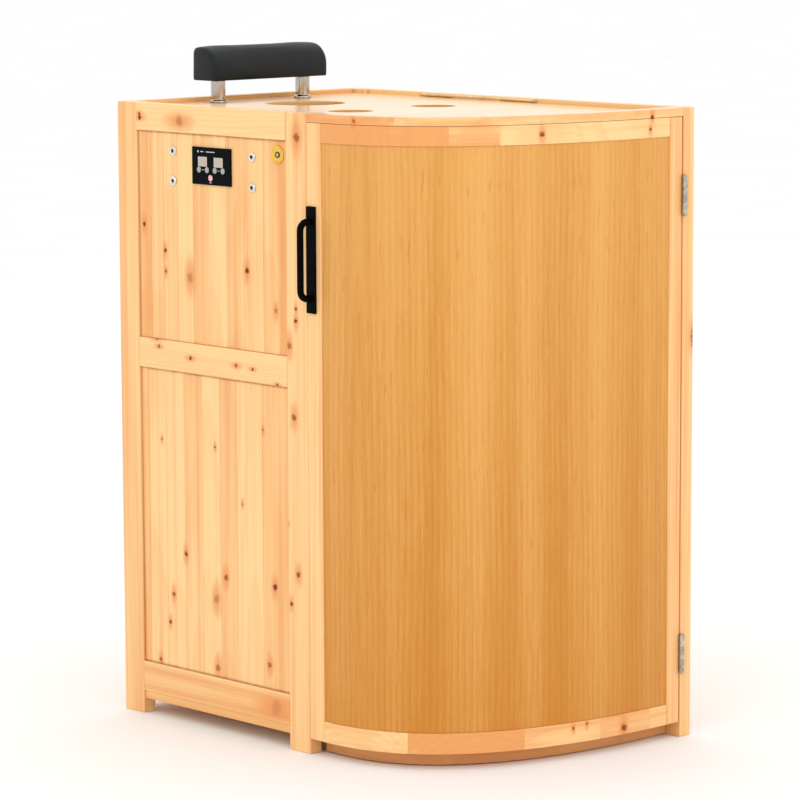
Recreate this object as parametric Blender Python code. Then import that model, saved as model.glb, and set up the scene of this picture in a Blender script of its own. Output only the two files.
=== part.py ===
"""Portable steam sauna: a seated pine cabinet with a bowed door, a turn-up lid and a headrest.

Metres, +Z up. The door faces -Y, the control panel is on the left wall (-X), and the origin
is on the floor under the middle of the whole object.
"""
from math import cos, pi, radians, sin

import bmesh
import bpy
from mathutils import Matrix, Vector

# ---- driving dimensions -------------------------------------------------------------------
WIDTH = 0.551            # left face to right face
DEPTH = 0.816            # back face to the front of the bow
LEFT_DEPTH = 0.478       # length of the straight left wall, posts included
HEIGHT = 1.050           # floor to the top of the rim
GRIP_REACH = 0.031       # how far the door grip stands out past the left face
HINGE_REACH = 0.0094     # how far the door hinges stand out past the front face
GAP = 0.0003             # clearance between touching pieces

LEFT = (GRIP_REACH - WIDTH) / 2
RIGHT = LEFT + WIDTH
BACK = (DEPTH + HINGE_REACH) / 2
FRONT = BACK - DEPTH

POST_WIDTH = 0.026       # posts, along X
POST_DEPTH = 0.050       # posts, along Y
RAIL = 0.026             # thickness of the frame rails and of the door frame
RIM = 0.018              # rail width left above the cover's rebate
TOP_RAIL = (1.004, HEIGHT)
MID_RAIL = (0.602, 0.653)
LOW_RAIL = (0.040, 0.092)
FLOOR = (0.026, 0.0397)
PANEL_RECESS = 0.004     # wall panels sit this far inside the frame's face
PANEL = 0.012            # wall panel thickness
EDGE = 0.0016            # softened edge of the pine pieces

COVER = (1.0275, 1.0425)
TOP_X = LEFT + 0.265     # middle line of the headrest, neck hole and hand holes
NECK_Y = BACK - 0.181
NECK_RADIUS = 0.068
HAND_Y = BACK - 0.398
HAND_SPREAD = 0.0945     # hand hole centres, each side of the middle line
HAND_RADIUS = 0.038

DOOR = (0.026, 1.0355)
DOOR_RAILS = (0.0605, 1.004)   # top of the lower rail, underside of the upper rail
LEFT_STILE = 0.034
RIGHT_STILE = 0.030
HINGE_GAP = 0.003
DOOR_SKIN = (0.002, 0.010)     # outer and inner face of the veneered panel, behind the rails' face
BOW_EXPONENT = 2.45            # fullness of the bowed plan: 2 is an ellipse
BOW_STEPS = 18
FRONT_RAIL = (1.036, HEIGHT)
PLINTH_INSET = (0.030, 0.044)
PLINTH = (0.002, 0.058)

HINGE_Z = (0.111, 0.875)       # lower ends of the two door hinges
HINGE_HEIGHT = 0.064
HINGE_BARREL = 0.0045
HINGE_PIN = 0.00195
HINGE_BORE = 0.0020
LEAF = 0.001

HANDLE_Y = BACK - 0.491
HANDLE_Z = (0.7285, 0.9015)
GRIP_BAR = 0.0055

PANEL_Y = BACK - 0.2425        # middle of the control panel
PANEL_Z = 0.952
PAD_LENGTH = 0.256
PAD_DEPTH = 0.062
PAD_Z = (1.081, 1.139)
POST_Y = BACK - 0.066
POST_SPREAD = 0.0965
SEAT_TOP = 0.420

BOW_X = RIGHT - POST_WIDTH - HINGE_GAP - RIGHT_STILE
BOW_Y = BACK - LEFT_DEPTH - GAP - LEFT_STILE
HINGE_AXIS = (RIGHT - POST_WIDTH - HINGE_GAP / 2, FRONT - HINGE_REACH + HINGE_BARREL)
LID_AXIS = (RIGHT - RIM - 0.003, COVER[1] + 0.0035)
WALL_FACE = LEFT + PANEL_RECESS


# ---- materials ----------------------------------------------------------------------------
def material(name, colour, roughness, metallic=0.0):
    """A Principled material."""
    made = bpy.data.materials.new(name)
    made.use_nodes = True
    shader = made.node_tree.nodes["Principled BSDF"]
    shader.inputs["Base Color"].default_value = (*colour, 1.0)
    shader.inputs["Roughness"].default_value = roughness
    shader.inputs["Metallic"].default_value = metallic
    return made


PINE = ((0.87, 0.60, 0.31), 0.35)
LACQUERED = ((0.90, 0.66, 0.38), 0.12)
VENEER = ((0.72, 0.42, 0.15), 0.40)
CHROME = ((0.80, 0.80, 0.80), 0.12, 1.0)
STEEL = ((0.60, 0.60, 0.62), 0.35, 1.0)
BLACK_METAL = ((0.012, 0.012, 0.013), 0.45)
BLACK_GLASS = ((0.010, 0.012, 0.014), 0.10)
LEATHERETTE = ((0.018, 0.022, 0.026), 0.42)
BUTTON_GREY = ((0.55, 0.55, 0.52), 0.40)
POWER_PINK = ((0.85, 0.62, 0.60), 0.40)
BRASS = ((0.80, 0.55, 0.12), 0.30, 1.0)
DARK_PLASTIC = ((0.03, 0.03, 0.03), 0.50)


# ---- building blocks ----------------------------------------------------------------------
def add(name, mesh, finish, smooth=False):
    """Put a mesh in the scene as one named sub-part with its own material."""
    piece = bpy.data.objects.new(name, mesh)
    bpy.context.scene.collection.objects.link(piece)
    mesh.materials.clear()
    mesh.materials.append(material(name, *finish))
    if smooth:
        mesh.shade_smooth()
        mesh.set_sharp_from_angle(angle=radians(35))
    return piece


def soften(piece, width=EDGE, segments=2):
    """Round the sharp edges of a piece."""
    bevel = piece.modifiers.new("soft edges", "BEVEL")
    bevel.width = width
    bevel.segments = segments
    bevel.limit_method = "ANGLE"
    bevel.angle_limit = radians(40)


def block(name, low, high, finish, edge=EDGE, segments=2):
    """A box between two corners, placed by its centre."""
    bm = bmesh.new()
    bmesh.ops.create_cube(bm, size=1.0)
    bmesh.ops.scale(bm, verts=bm.verts, vec=Vector(high) - Vector(low))
    mesh = bpy.data.meshes.new(name)
    bm.to_mesh(mesh)
    bm.free()
    piece = add(name, mesh, finish)
    piece.location = (Vector(low) + Vector(high)) / 2
    if edge:
        soften(piece, edge, segments)
    return piece


def extrusion(name, outline, low, high, finish, along="Z", edge=0.0):
    """A flat outline pushed out from low to high along one axis."""
    lift = {"X": lambda p, q, h: (h, p, q), "Y": lambda p, q, h: (p, h, q), "Z": lambda p, q, h: (p, q, h)}[along]
    bm = bmesh.new()
    ring = [bm.verts.new(lift(p, q, low)) for p, q in outline]
    face = bm.faces.new(ring)
    pushed = bmesh.ops.extrude_face_region(bm, geom=[face])
    moved = [item for item in pushed["geom"] if isinstance(item, bmesh.types.BMVert)]
    bmesh.ops.translate(bm, verts=moved, vec=Vector(lift(0, 0, high)) - Vector(lift(0, 0, low)))
    bmesh.ops.recalc_face_normals(bm, faces=bm.faces)
    mesh = bpy.data.meshes.new(name)
    bm.to_mesh(mesh)
    bm.free()
    piece = add(name, mesh, finish)
    if edge:
        soften(piece, edge, segments=1)
    return piece


def turned(name, profile, finish, steps=24):
    """A solid of revolution about local Z from (radius, height) pairs, bottom to top."""
    bm = bmesh.new()
    corners = [bm.verts.new((radius, 0, height)) for radius, height in profile]
    edges = [bm.edges.new(pair) for pair in zip(corners, corners[1:])]
    if profile[0][0] > 0:
        edges.append(bm.edges.new((corners[-1], corners[0])))
    bmesh.ops.spin(bm, geom=corners + edges, axis=(0, 0, 1), cent=(0, 0, 0), steps=steps, angle=2 * pi)
    bmesh.ops.remove_doubles(bm, verts=bm.verts, dist=0.00001)
    bmesh.ops.recalc_face_normals(bm, faces=bm.faces)
    mesh = bpy.data.meshes.new(name)
    bm.to_mesh(mesh)
    bm.free()
    return add(name, mesh, finish, smooth=True)


def bar(name, route, radius, finish, sides=4):
    """A round bar along a route of points."""
    curve = bpy.data.curves.new(name, "CURVE")
    curve.dimensions = "3D"
    curve.bevel_depth = radius
    curve.bevel_resolution = sides
    curve.use_fill_caps = True
    spline = curve.splines.new("POLY")
    spline.points.add(len(route) - 1)
    for point, place in zip(spline.points, route):
        point.co = (*place, 1.0)
    curve.materials.append(material(name, *finish))
    piece = bpy.data.objects.new(name, curve)
    bpy.context.scene.collection.objects.link(piece)
    return piece


def rounded(corners, radius, steps=5):
    """A route through the corners with each inner corner replaced by an arc-like bend."""
    places = [Vector(corner) for corner in corners]
    route = [places[0]]
    for before, corner, after in zip(places, places[1:], places[2:]):
        start = corner + (before - corner).normalized() * radius
        end = corner + (after - corner).normalized() * radius
        for step in range(steps + 1):
            t = step / steps
            route.append(start * (1 - t) ** 2 + corner * 2 * t * (1 - t) + end * t ** 2)
    return route + [places[-1]]


def combine(piece, other, operation):
    """Cut another piece out of this one, or join it on; the other piece is used up."""
    boolean = piece.modifiers.new(operation.lower(), "BOOLEAN")
    boolean.operation = operation
    boolean.object = other
    finished = bpy.data.meshes.new_from_object(piece.evaluated_get(bpy.context.evaluated_depsgraph_get()))
    piece.modifiers.clear()
    piece.data = finished
    bpy.data.objects.remove(other)
    return piece


def cut(piece, other):
    return combine(piece, other, "DIFFERENCE")


def join(piece, other):
    return combine(piece, other, "UNION")


def rod(centre, radius, length, axis, steps=24):
    """A plain cylinder to cut or join with, centred on a point."""
    made = turned("rod", [(0, -length / 2), (radius, -length / 2), (radius, length / 2), (0, length / 2)],
                  STEEL, steps)
    made.location = centre
    made.rotation_euler = {"X": (0, pi / 2, 0), "Y": (pi / 2, 0, 0), "Z": (0, 0, 0)}[axis]
    return made


def pivot(name, place):
    """An empty on a joint's axis."""
    empty = bpy.data.objects.new(name, None)
    empty.location = place
    bpy.context.scene.collection.objects.link(empty)
    return empty


def hang(pieces, on):
    """Parent pieces to a pivot without moving them."""
    for piece in pieces:
        piece.parent = on
        piece.location -= on.location


# ---- bowed plan ---------------------------------------------------------------------------
def bow(inset):
    """Points of the bowed front, set in by a distance, from the left stile to the right one."""
    half_x, half_y = BOW_X - LEFT, BOW_Y - FRONT
    dual = BOW_EXPONENT / (BOW_EXPONENT - 1)
    points = []
    for step in range(BOW_STEPS + 1):
        turn = pi / 2 * step / BOW_STEPS
        across, along = max(cos(turn), 0.0), sin(turn)
        scale = ((half_x * across) ** dual + (half_y * along) ** dual) ** (-1 / dual)
        x = BOW_X - half_x * (half_x * scale * across) ** (dual - 1) + inset * across
        y = BOW_Y - half_y * (half_y * scale * along) ** (dual - 1) + inset * along
        points.append((x, y))
    return points


def bow_strip(outer, inner, start=None, end=None):
    """Closed outline between two insets, with straight runs back to y = start and out to x = end."""
    sides = []
    for inset in (outer, inner):
        path = bow(inset)
        if start is not None:
            path = [(LEFT + inset, start)] + path
        if end is not None:
            path = path + [(end, FRONT + inset)]
        sides.append(path)
    return sides[0] + sides[1][::-1]


def arc(x, y, radius, start, end, steps=24):
    """Points of an arc."""
    turns = [start + (end - start) * step / steps for step in range(steps + 1)]
    return [(x + radius * cos(turn), y + radius * sin(turn)) for turn in turns]


# ---- cabinet ------------------------------------------------------------------------------
def build_posts():
    fronts = {"left": BACK - LEFT_DEPTH, "right": FRONT}
    for side, x in (("left", LEFT), ("right", RIGHT - POST_WIDTH)):
        for place, y in (("back", BACK - POST_DEPTH), ("front", fronts[side])):
            block(f"post_{place}_{side}", (x, y, 0), (x + POST_WIDTH, y + POST_DEPTH, HEIGHT), PINE)


def rebated(outer, inward):
    """Section of a top rail: full width below, only the rim's width beside the cover."""
    (low, high), ledge, edge = TOP_RAIL, COVER[0] - GAP, EDGE / 2
    section = [(edge, low), (0, low + edge), (0, high - edge), (edge, high), (RIM - edge, high),
               (RIM, high - edge), (RIM, ledge), (RAIL, ledge), (RAIL, low)]
    return [(outer + inward * depth, z) for depth, z in section]


def build_side_wall(side, outer, inward, front):
    """Rails and panels between the two posts of one side."""
    low_y, high_y = front + POST_DEPTH + GAP, BACK - POST_DEPTH - GAP
    extrusion(f"{side}_top_rail", rebated(outer, inward), low_y, high_y, PINE, "Y")

    def between(name, near, far, heights, finish=PINE):
        xs = sorted((outer + inward * near, outer + inward * far))
        return block(name, (xs[0], low_y, heights[0]), (xs[1], high_y, heights[1]), finish)

    between(f"{side}_bottom_rail", 0, RAIL, LOW_RAIL)
    faces = (PANEL_RECESS, PANEL_RECESS + PANEL)
    if side == "right":
        return between("right_panel", *faces, (LOW_RAIL[1] + GAP, TOP_RAIL[0] - GAP))
    between("left_mid_rail", 0, RAIL, MID_RAIL)
    between("left_lower_panel", *faces, (LOW_RAIL[1] + GAP, MID_RAIL[0] - GAP))
    return between("left_upper_panel", *faces, (MID_RAIL[1] + GAP, TOP_RAIL[0] - GAP))


def build_back_wall():
    low_x, high_x = LEFT + POST_WIDTH + GAP, RIGHT - POST_WIDTH - GAP
    extrusion("back_top_rail", rebated(BACK, -1), low_x, high_x, PINE, "X")
    block("back_bottom_rail", (low_x, BACK - RAIL, LOW_RAIL[0]), (high_x, BACK, LOW_RAIL[1]), PINE)
    face = BACK - PANEL_RECESS
    panel = block("back_panel", (low_x, face - PANEL, LOW_RAIL[1] + GAP), (high_x, face, TOP_RAIL[0] - GAP), PINE)
    inlet_x, inlet_z = RIGHT - 0.100, 0.150
    cut(panel, block("hole", (inlet_x - 0.0215, face - 0.1, inlet_z - 0.0155),
                     (inlet_x + 0.0215, face + 0.1, inlet_z + 0.0155), STEEL, 0))
    inlet = block("power_inlet", (inlet_x - 0.021, face - 0.034, inlet_z - 0.015),
                  (inlet_x + 0.021, face + 0.001, inlet_z + 0.015), DARK_PLASTIC, 0)
    join(inlet, block("plate", (inlet_x - 0.028, face + GAP, inlet_z - 0.021),
                      (inlet_x + 0.028, face + 0.003, inlet_z + 0.021), DARK_PLASTIC, 0))
    cut(inlet, block("recess", (inlet_x - 0.014, face - 0.020, inlet_z - 0.010),
                     (inlet_x + 0.014, face + 0.010, inlet_z + 0.010), STEEL, 0))


def build_base():
    """Bowed plinth and the floor board, which is notched round the posts."""
    start, end = BACK - LEFT_DEPTH - 0.006, RIGHT - POST_WIDTH - GAP
    extrusion("plinth", bow_strip(*PLINTH_INSET, start, end), *PLINTH, PINE, edge=0.001)
    side, gap, inner = 0.004, GAP, PLINTH_INSET[1] + GAP
    left, right, back = LEFT + side, RIGHT - side, BACK - side
    in_left, in_right = LEFT + POST_WIDTH + gap, RIGHT - POST_WIDTH - gap
    step_back = BACK - POST_DEPTH - gap
    front_left = BACK - LEFT_DEPTH + POST_DEPTH + gap
    front_right = FRONT + POST_DEPTH + gap
    outline = [(in_left, back), (in_left, step_back), (left, step_back), (left, front_left),
               (LEFT + inner, front_left)] + bow(inner)
    outline += [(in_right, FRONT + inner), (in_right, front_right), (right, front_right), (right, step_back),
                (in_right, step_back), (in_right, back)]
    extrusion("floor_board", outline, *FLOOR, PINE)


# ---- top ----------------------------------------------------------------------------------
def build_top():
    """Front rail over the door, the fixed rear cover, and the lid that turns up."""
    start, end = BACK - LEFT_DEPTH - GAP, RIGHT - POST_WIDTH - GAP
    extrusion("front_top_rail", bow_strip(0, RAIL, start, end), *FRONT_RAIL, PINE, edge=EDGE)
    in_left, in_right = LEFT + POST_WIDTH + GAP, RIGHT - POST_WIDTH - GAP
    left, right, back = LEFT + RIM + GAP, RIGHT - RIM - GAP, BACK - RIM - GAP
    step_back = BACK - POST_DEPTH - GAP
    outline = [(in_left, back), (in_left, step_back), (left, step_back), (left, NECK_Y + GAP)]
    outline += arc(TOP_X, NECK_Y + GAP, NECK_RADIUS, pi, 0)
    outline += [(right, NECK_Y + GAP), (right, step_back), (in_right, step_back), (in_right, back)]
    extrusion("rear_cover", outline, *COVER, LACQUERED)

    lid_right = LID_AXIS[0] - 0.003
    front_left = BACK - LEFT_DEPTH + POST_DEPTH + GAP
    outline = [(left, NECK_Y - GAP), (left, front_left), (LEFT + RAIL + GAP, front_left)] + bow(RAIL + GAP)
    outline += [(in_right, FRONT + RAIL + GAP), (in_right, FRONT + POST_DEPTH + GAP),
                (lid_right, FRONT + POST_DEPTH + GAP), (lid_right, NECK_Y - GAP)]
    outline += arc(TOP_X, NECK_Y - GAP, NECK_RADIUS, 0, -pi)
    lid = extrusion("front_lid", outline, *COVER, LACQUERED)
    for side in (-1, 1):
        cut(lid, rod((TOP_X + side * HAND_SPREAD, HAND_Y, COVER[1]), HAND_RADIUS, 0.1, "Z", 32))
    return lid


def hinge_leaf(name, side, length, knuckles, barrel, bore, plate, finish):
    """One hinge leaf. The pin's axis is local Z and the leaf reaches along local +Y.

    side is +1 or -1 along local X; knuckles are (low, high) stretches of the barrel that this
    leaf carries; plate is (nearest x, thickness, first y past the barrel, last y).
    """
    near, thick, first, last = plate
    xs = sorted((side * near, side * (near + thick)))
    leaf = block(name, (xs[0], first, 0), (xs[1], last, length), finish, 0)
    leaf.data.transform(Matrix.Translation(leaf.location))
    leaf.location = (0, 0, 0)
    reach = (barrel + bore) / 2
    for low, high in knuckles:
        join(leaf, block("tab", (xs[0], reach, low), (xs[1], first + 0.001, high), finish, 0))
        ring = turned("ring", [(bore, low), (barrel, low), (barrel, high), (bore, high)], finish)
        join(leaf, ring)
    leaf.data.materials.clear()
    leaf.data.materials.append(material(name, *finish))
    return leaf


def build_lid_hinge():
    """A slim long hinge between the lid's edge and the right rim; its pin is part of the base."""
    length, barrel, bore = 0.280, 0.0025, 0.0011
    low_y = NECK_Y - 0.010 - length
    place = (LID_AXIS[0], low_y, LID_AXIS[1])
    plate = (0.0017, LEAF, 0.0030, 0.0175)
    ends, middle = [(0, 0.080), (0.200, length)], [(0.080 + GAP, 0.200 - GAP)]
    base = hinge_leaf("lid_hinge_base", 1, length, ends, barrel, 0, plate, BRASS)
    join(base, rod((0, 0, length / 2), bore - 0.00005, length - 0.0400, "Z"))
    leaf = hinge_leaf("lid_hinge_leaf", -1, length, middle, barrel, bore, plate, BRASS)
    for piece in (base, leaf):
        piece.rotation_euler = (-pi / 2, 0, 0)
        piece.location = place
    return leaf


# ---- door ---------------------------------------------------------------------------------
def build_door():
    """Flat stiles, bowed rails and the bowed veneered panel."""
    edge_y = BACK - LEFT_DEPTH - GAP
    left = block("door_left_stile", (LEFT, edge_y - LEFT_STILE + GAP, DOOR[0]), (LEFT + RAIL, edge_y, DOOR[1]), PINE)
    right = block("door_right_stile", (BOW_X + GAP, FRONT, DOOR[0]),
                  (BOW_X + RIGHT_STILE, FRONT + RAIL, DOOR[1]), PINE)
    frame = bow_strip(0, RAIL)
    bottom = extrusion("door_bottom_rail", frame, DOOR[0], DOOR_RAILS[0], PINE, edge=EDGE)
    top = extrusion("door_top_rail", frame, DOOR_RAILS[1], DOOR[1], PINE, edge=EDGE)
    skin = extrusion("door_skin", bow_strip(*DOOR_SKIN), DOOR_RAILS[0] + GAP, DOOR_RAILS[1] - GAP, VENEER)
    return [left, right, bottom, top, skin]


def build_door_hinges():
    """Two butt hinges in the gap beside the right post; the pins stay with the cabinet."""
    x, y = HINGE_AXIS
    first = FRONT + 0.0005 - y
    plate = (0.0002, LEAF, first, FRONT + 0.022 - y)
    third = (HINGE_HEIGHT - 4 * GAP) / 3
    low, high = (0, third), (HINGE_HEIGHT - third, HINGE_HEIGHT)
    middle = (third + 2 * GAP, HINGE_HEIGHT - third - 2 * GAP)
    moving = []
    for place, z in zip(("lower", "upper"), HINGE_Z):
        frame = hinge_leaf(f"{place}_hinge_frame_leaf", 1, HINGE_HEIGHT, [low, high], HINGE_BARREL, HINGE_BORE,
                           plate, CHROME)
        door = hinge_leaf(f"{place}_hinge_door_leaf", -1, HINGE_HEIGHT, [middle], HINGE_BARREL, HINGE_BORE,
                          plate, CHROME)
        head, top = 0.0034, HINGE_HEIGHT + GAP
        profile = [(0, -0.0024), (head, -0.0018), (head, -GAP), (HINGE_PIN, -GAP), (HINGE_PIN, top),
                   (head, top), (head, top + 0.0015), (0, top + 0.0021)]
        pin = turned(f"{place}_hinge_pin", profile, CHROME)
        for piece in (frame, door, pin):
            piece.location = (x, y, z)
        moving.append(door)
    return moving


def build_handle():
    """Black back plate with a round bail grip."""
    plate = block("handle_plate", (LEFT - 0.0038, HANDLE_Y - 0.011, HANDLE_Z[0]),
                  (LEFT - GAP, HANDLE_Y + 0.011, HANDLE_Z[1]), BLACK_METAL, 0.0012)
    root, reach = LEFT - 0.0038 - GAP, LEFT - GRIP_REACH + GRIP_BAR
    low, high = HANDLE_Z[0] + 0.0245, HANDLE_Z[1] - 0.0245
    corners = [(root, HANDLE_Y, low), (reach, HANDLE_Y, low), (reach, HANDLE_Y, high), (root, HANDLE_Y, high)]
    grip = bar("handle_grip", rounded(corners, 0.014), GRIP_BAR, BLACK_METAL)
    return [plate, grip]


def build_catch():
    inner = LEFT + POST_WIDTH + GAP
    block("door_catch", (inner, BACK - LEFT_DEPTH + 0.002, 0.560),
          (inner + 0.016, BACK - LEFT_DEPTH + 0.040, 0.610), DARK_PLASTIC, 0.001, 1)


# ---- control panel ------------------------------------------------------------------------
def build_controls(panel):
    """Glass fascia with five push buttons, the housing behind, four bolts and a badge."""
    half_y, half_z = 0.0488, 0.0310
    cut(panel, block("window", (LEFT - 0.1, PANEL_Y - 0.044, PANEL_Z - 0.026),
                     (LEFT + 0.1, PANEL_Y + 0.044, PANEL_Z + 0.026), PINE, 0))
    outer = WALL_FACE - GAP - 0.003
    fascia = block("control_fascia", (outer, PANEL_Y - half_y, PANEL_Z - half_z),
                   (WALL_FACE - GAP, PANEL_Y + half_y, PANEL_Z + half_z), BLACK_GLASS, 0.0005, 1)
    fronts = [(f"button_{number}", PANEL_Y + 0.0310 - 0.0200 * (number - 1), PANEL_Z - 0.0065, 0.0050, BUTTON_GREY)
              for number in range(1, 5)]
    fronts.append(("power_button", PANEL_Y + 0.0020, PANEL_Z - 0.0195, 0.0052, POWER_PINK))
    for name, y, z, radius, finish in fronts:
        cut(fascia, rod((outer, y, z), radius + GAP, 0.02, "X"))
        flange = WALL_FACE - outer
        profile = [(0, -0.0008), (radius, -0.0008), (radius, flange), (radius + 0.0012, flange),
                   (radius + 0.0012, flange + 0.0012), (0.002, flange + 0.0012), (0.002, 0.0140), (0, 0.0140)]
        button = turned(name, profile, finish)
        button.location = (outer, y, z)
        button.rotation_euler = (0, pi / 2, 0)

    middle_y, middle_z = BACK - 0.24175, 0.947
    back = WALL_FACE + PANEL + GAP
    housing = block("control_housing", (back, middle_y - 0.118, middle_z - 0.038),
                    (back + 0.003, middle_y + 0.118, middle_z + 0.038), DARK_PLASTIC, 0)
    join(housing, block("tray", (back + 0.001, middle_y - 0.078, middle_z - 0.034),
                        (back + 0.034, middle_y + 0.078, middle_z + 0.034), DARK_PLASTIC, 0))
    cut(housing, block("hollow", (back - 0.01, middle_y - 0.075, middle_z - 0.031),
                       (back + 0.031, middle_y + 0.075, middle_z + 0.031), DARK_PLASTIC, 0))
    for number, (y, z) in enumerate(((0.1415, 0.9725), (0.1415, 0.9225), (0.3420, 0.9725), (0.3420, 0.9225)), 1):
        place = (WALL_FACE, BACK - y, z)
        for holed in (panel, housing):
            cut(holed, rod(place, 0.0034, 0.1, "X"))
        build_bolt(f"panel_bolt_{number}", place)
    badge = turned("wall_badge", [(0, 0), (0.0138, 0), (0.0152, 0.0009), (0.0152, 0.0018), (0, 0.0018)], BRASS, 32)
    badge.location = (WALL_FACE - GAP - 0.0018, BACK - 0.4055, 0.9795)
    badge.rotation_euler = (0, pi / 2, 0)


def build_bolt(name, place):
    """Flat round-headed bolt with a hex socket; its head lies on the wall, its shank runs inwards."""
    head, socket = 0.0080, 0.0023
    profile = [(0, -0.0026), (0.0062, -0.0026), (head, -0.0014), (head, -GAP), (0.0030, -GAP), (0.0030, 0.0225),
               (0, 0.0225)]
    bolt = turned(name, profile, CHROME)
    bolt.location = place
    bolt.rotation_euler = (0, pi / 2, 0)
    cut(bolt, rod((place[0] - 0.0026, place[1], place[2]), socket, 0.0036, "X", 6))


# ---- headrest -----------------------------------------------------------------------------
def build_headrest():
    for side, x in (("left", TOP_X - POST_SPREAD), ("right", TOP_X + POST_SPREAD)):
        tall = PAD_Z[0] - COVER[1] - 2 * GAP
        profile = [(0, 0), (0.0150, 0), (0.0150, 0.0035), (0.0138, 0.0048), (0.0125, 0.0052), (0.0125, tall),
                   (0, tall)]
        post = turned(f"headrest_post_{side}", profile, CHROME, 32)
        post.location = (x, POST_Y, COVER[1] + GAP)
    back, front = POST_Y + PAD_DEPTH / 2, POST_Y - PAD_DEPTH / 2
    low, high = PAD_Z
    shoulder = 0.040
    section = [(front, low), (front, high - shoulder)]
    section += [(front + shoulder - shoulder * cos(turn), high - shoulder + shoulder * sin(turn))
                for turn in (pi / 2 * step / 8 for step in range(1, 9))]
    section += [(back - 0.008, high), (back, high - 0.008), (back, low)]
    half = PAD_LENGTH / 2
    extrusion("headrest_pad", section, TOP_X - half, TOP_X + half, LEATHERETTE, "X", edge=0.004)


# ---- inside -------------------------------------------------------------------------------
def build_seat():
    block("seat_board", (LEFT + POST_WIDTH + 0.001, BACK - 0.400, SEAT_TOP - 0.018),
          (RIGHT - POST_WIDTH - 0.001, BACK - RAIL - 0.001, SEAT_TOP), PINE, 0.002)
    near = PANEL_RECESS + PANEL + GAP
    left, right, back, front = LEFT + near, RIGHT - near, BACK - POST_DEPTH - GAP, BACK - 0.395
    bar_width = 0.030
    outline = [(left, back), (left, front), (right, front), (right, back), (right - bar_width, back),
               (right - bar_width, front + 0.018), (left + bar_width, front + 0.018), (left + bar_width, back)]
    extrusion("seat_frame", outline, SEAT_TOP - 0.060, SEAT_TOP - 0.018 - GAP, PINE)


def build_steam_unit():
    """Water tank with its lid, flip cap and heater, and the pipe and nozzle that let the steam out."""
    x, y = (LEFT + RIGHT) / 2, BACK - 0.210
    half_x, half_y, floor, wall = 0.130, 0.090, FLOOR[1] + GAP, 0.003
    top = floor + 0.160
    tank = block("steam_tank", (x - half_x, y - half_y, floor), (x + half_x, y + half_y, top), STEEL, 0)
    cut(tank, block("hollow", (x - half_x + wall, y - half_y + wall, floor + wall),
                    (x + half_x - wall, y + half_y - wall, top + 0.01), STEEL, 0))
    lid_top = top + GAP + 0.004
    lid = block("tank_lid", (x - half_x - 0.003, y - half_y - 0.003, top + GAP),
                (x + half_x + 0.003, y + half_y + 0.003, lid_top), STEEL, 0)
    filler_x, outlet_x, cap_y = x + 0.070, x - 0.080, y + 0.030
    cut(lid, rod((filler_x, y, top), 0.0200, 0.05, "Z"))
    cut(lid, rod((outlet_x, y, top), 0.0070, 0.05, "Z"))

    cap = turned("filler_cap", [(0, -0.0042), (0.0170, -0.0042), (0.0170, GAP), (0.0250, GAP), (0.0250, 0.0070),
                                (0, 0.0070)], DARK_PLASTIC)
    cap.location = (filler_x, y, lid_top)
    join(cap, block("tab", (filler_x - 0.008, y, lid_top + GAP), (filler_x + 0.008, cap_y, lid_top + 0.006),
                    DARK_PLASTIC, 0))
    hang([cap], pivot("filler_cap_axis", (filler_x, cap_y, lid_top + 0.006)))

    deep, high = floor + wall + GAP, floor + 0.035
    legs = [(x - 0.095, y + 0.045), (x - 0.095, y - 0.045)]
    corners = [(*legs[0], deep), (*legs[0], high), (x + 0.095, y + 0.045, high), (x + 0.095, y - 0.045, high),
               (*legs[1], high), (*legs[1], deep)]
    bar("heating_element", rounded(corners, 0.015, 4), 0.0042, STEEL, 2)

    pipe_z, mouth_y = lid_top + 0.050, BACK - 0.402
    route = rounded([(outlet_x, y, lid_top + GAP), (outlet_x, y, pipe_z), (outlet_x, mouth_y, pipe_z)], 0.025, 6)
    bore = rounded([(outlet_x, y, lid_top - 0.02), (outlet_x, y, pipe_z), (outlet_x, mouth_y - 0.02, pipe_z)],
                   0.025, 6)
    pipe = solid_bar("steam_pipe", route, 0.0090, STEEL)
    cut(pipe, solid_bar("bore", bore, 0.0068, STEEL))
    nozzle = turned("steam_nozzle", [(0.0068, 0), (0.0180, 0), (0.0240, 0.0100), (0.0240, 0.0160), (0.0200, 0.0160),
                                     (0.0068, 0.0090)], DARK_PLASTIC)
    nozzle.location = (outlet_x, mouth_y - GAP, pipe_z)
    nozzle.rotation_euler = (pi / 2, 0, 0)


def solid_bar(name, route, radius, finish):
    """A bar turned into a plain mesh, ready to be cut."""
    made = bar(name, route, radius, finish, 3)
    mesh = bpy.data.meshes.new_from_object(made.evaluated_get(bpy.context.evaluated_depsgraph_get()))
    bm = bmesh.new()
    bm.from_mesh(mesh)
    bmesh.ops.remove_doubles(bm, verts=bm.verts, dist=0.00001)
    bmesh.ops.recalc_face_normals(bm, faces=bm.faces)
    bm.to_mesh(mesh)
    bm.free()
    bpy.data.objects.remove(made)
    return add(name, mesh, finish)


def main():
    for leftover in list(bpy.data.objects):
        bpy.data.objects.remove(leftover)
    build_posts()
    left_panel = build_side_wall("left", LEFT, 1, BACK - LEFT_DEPTH)
    build_side_wall("right", RIGHT, -1, FRONT)
    build_back_wall()
    build_base()
    lid = build_top()
    hang([lid, build_lid_hinge()], pivot("lid_axis", (LID_AXIS[0], NECK_Y, LID_AXIS[1])))
    build_catch()
    door = build_door() + build_door_hinges() + build_handle()
    hang(door, pivot("door_axis", (*HINGE_AXIS, 0)))
    build_controls(left_panel)
    build_headrest()
    build_seat()
    build_steam_unit()


main()
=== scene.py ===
"""Portable steam sauna: the finished timber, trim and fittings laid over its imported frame."""

import logging
import math
from dataclasses import dataclass
from enum import Enum
from typing import Callable, Iterable, Mapping, Optional, Sequence, Union

import bpy
from mathutils import Matrix, Vector


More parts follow.
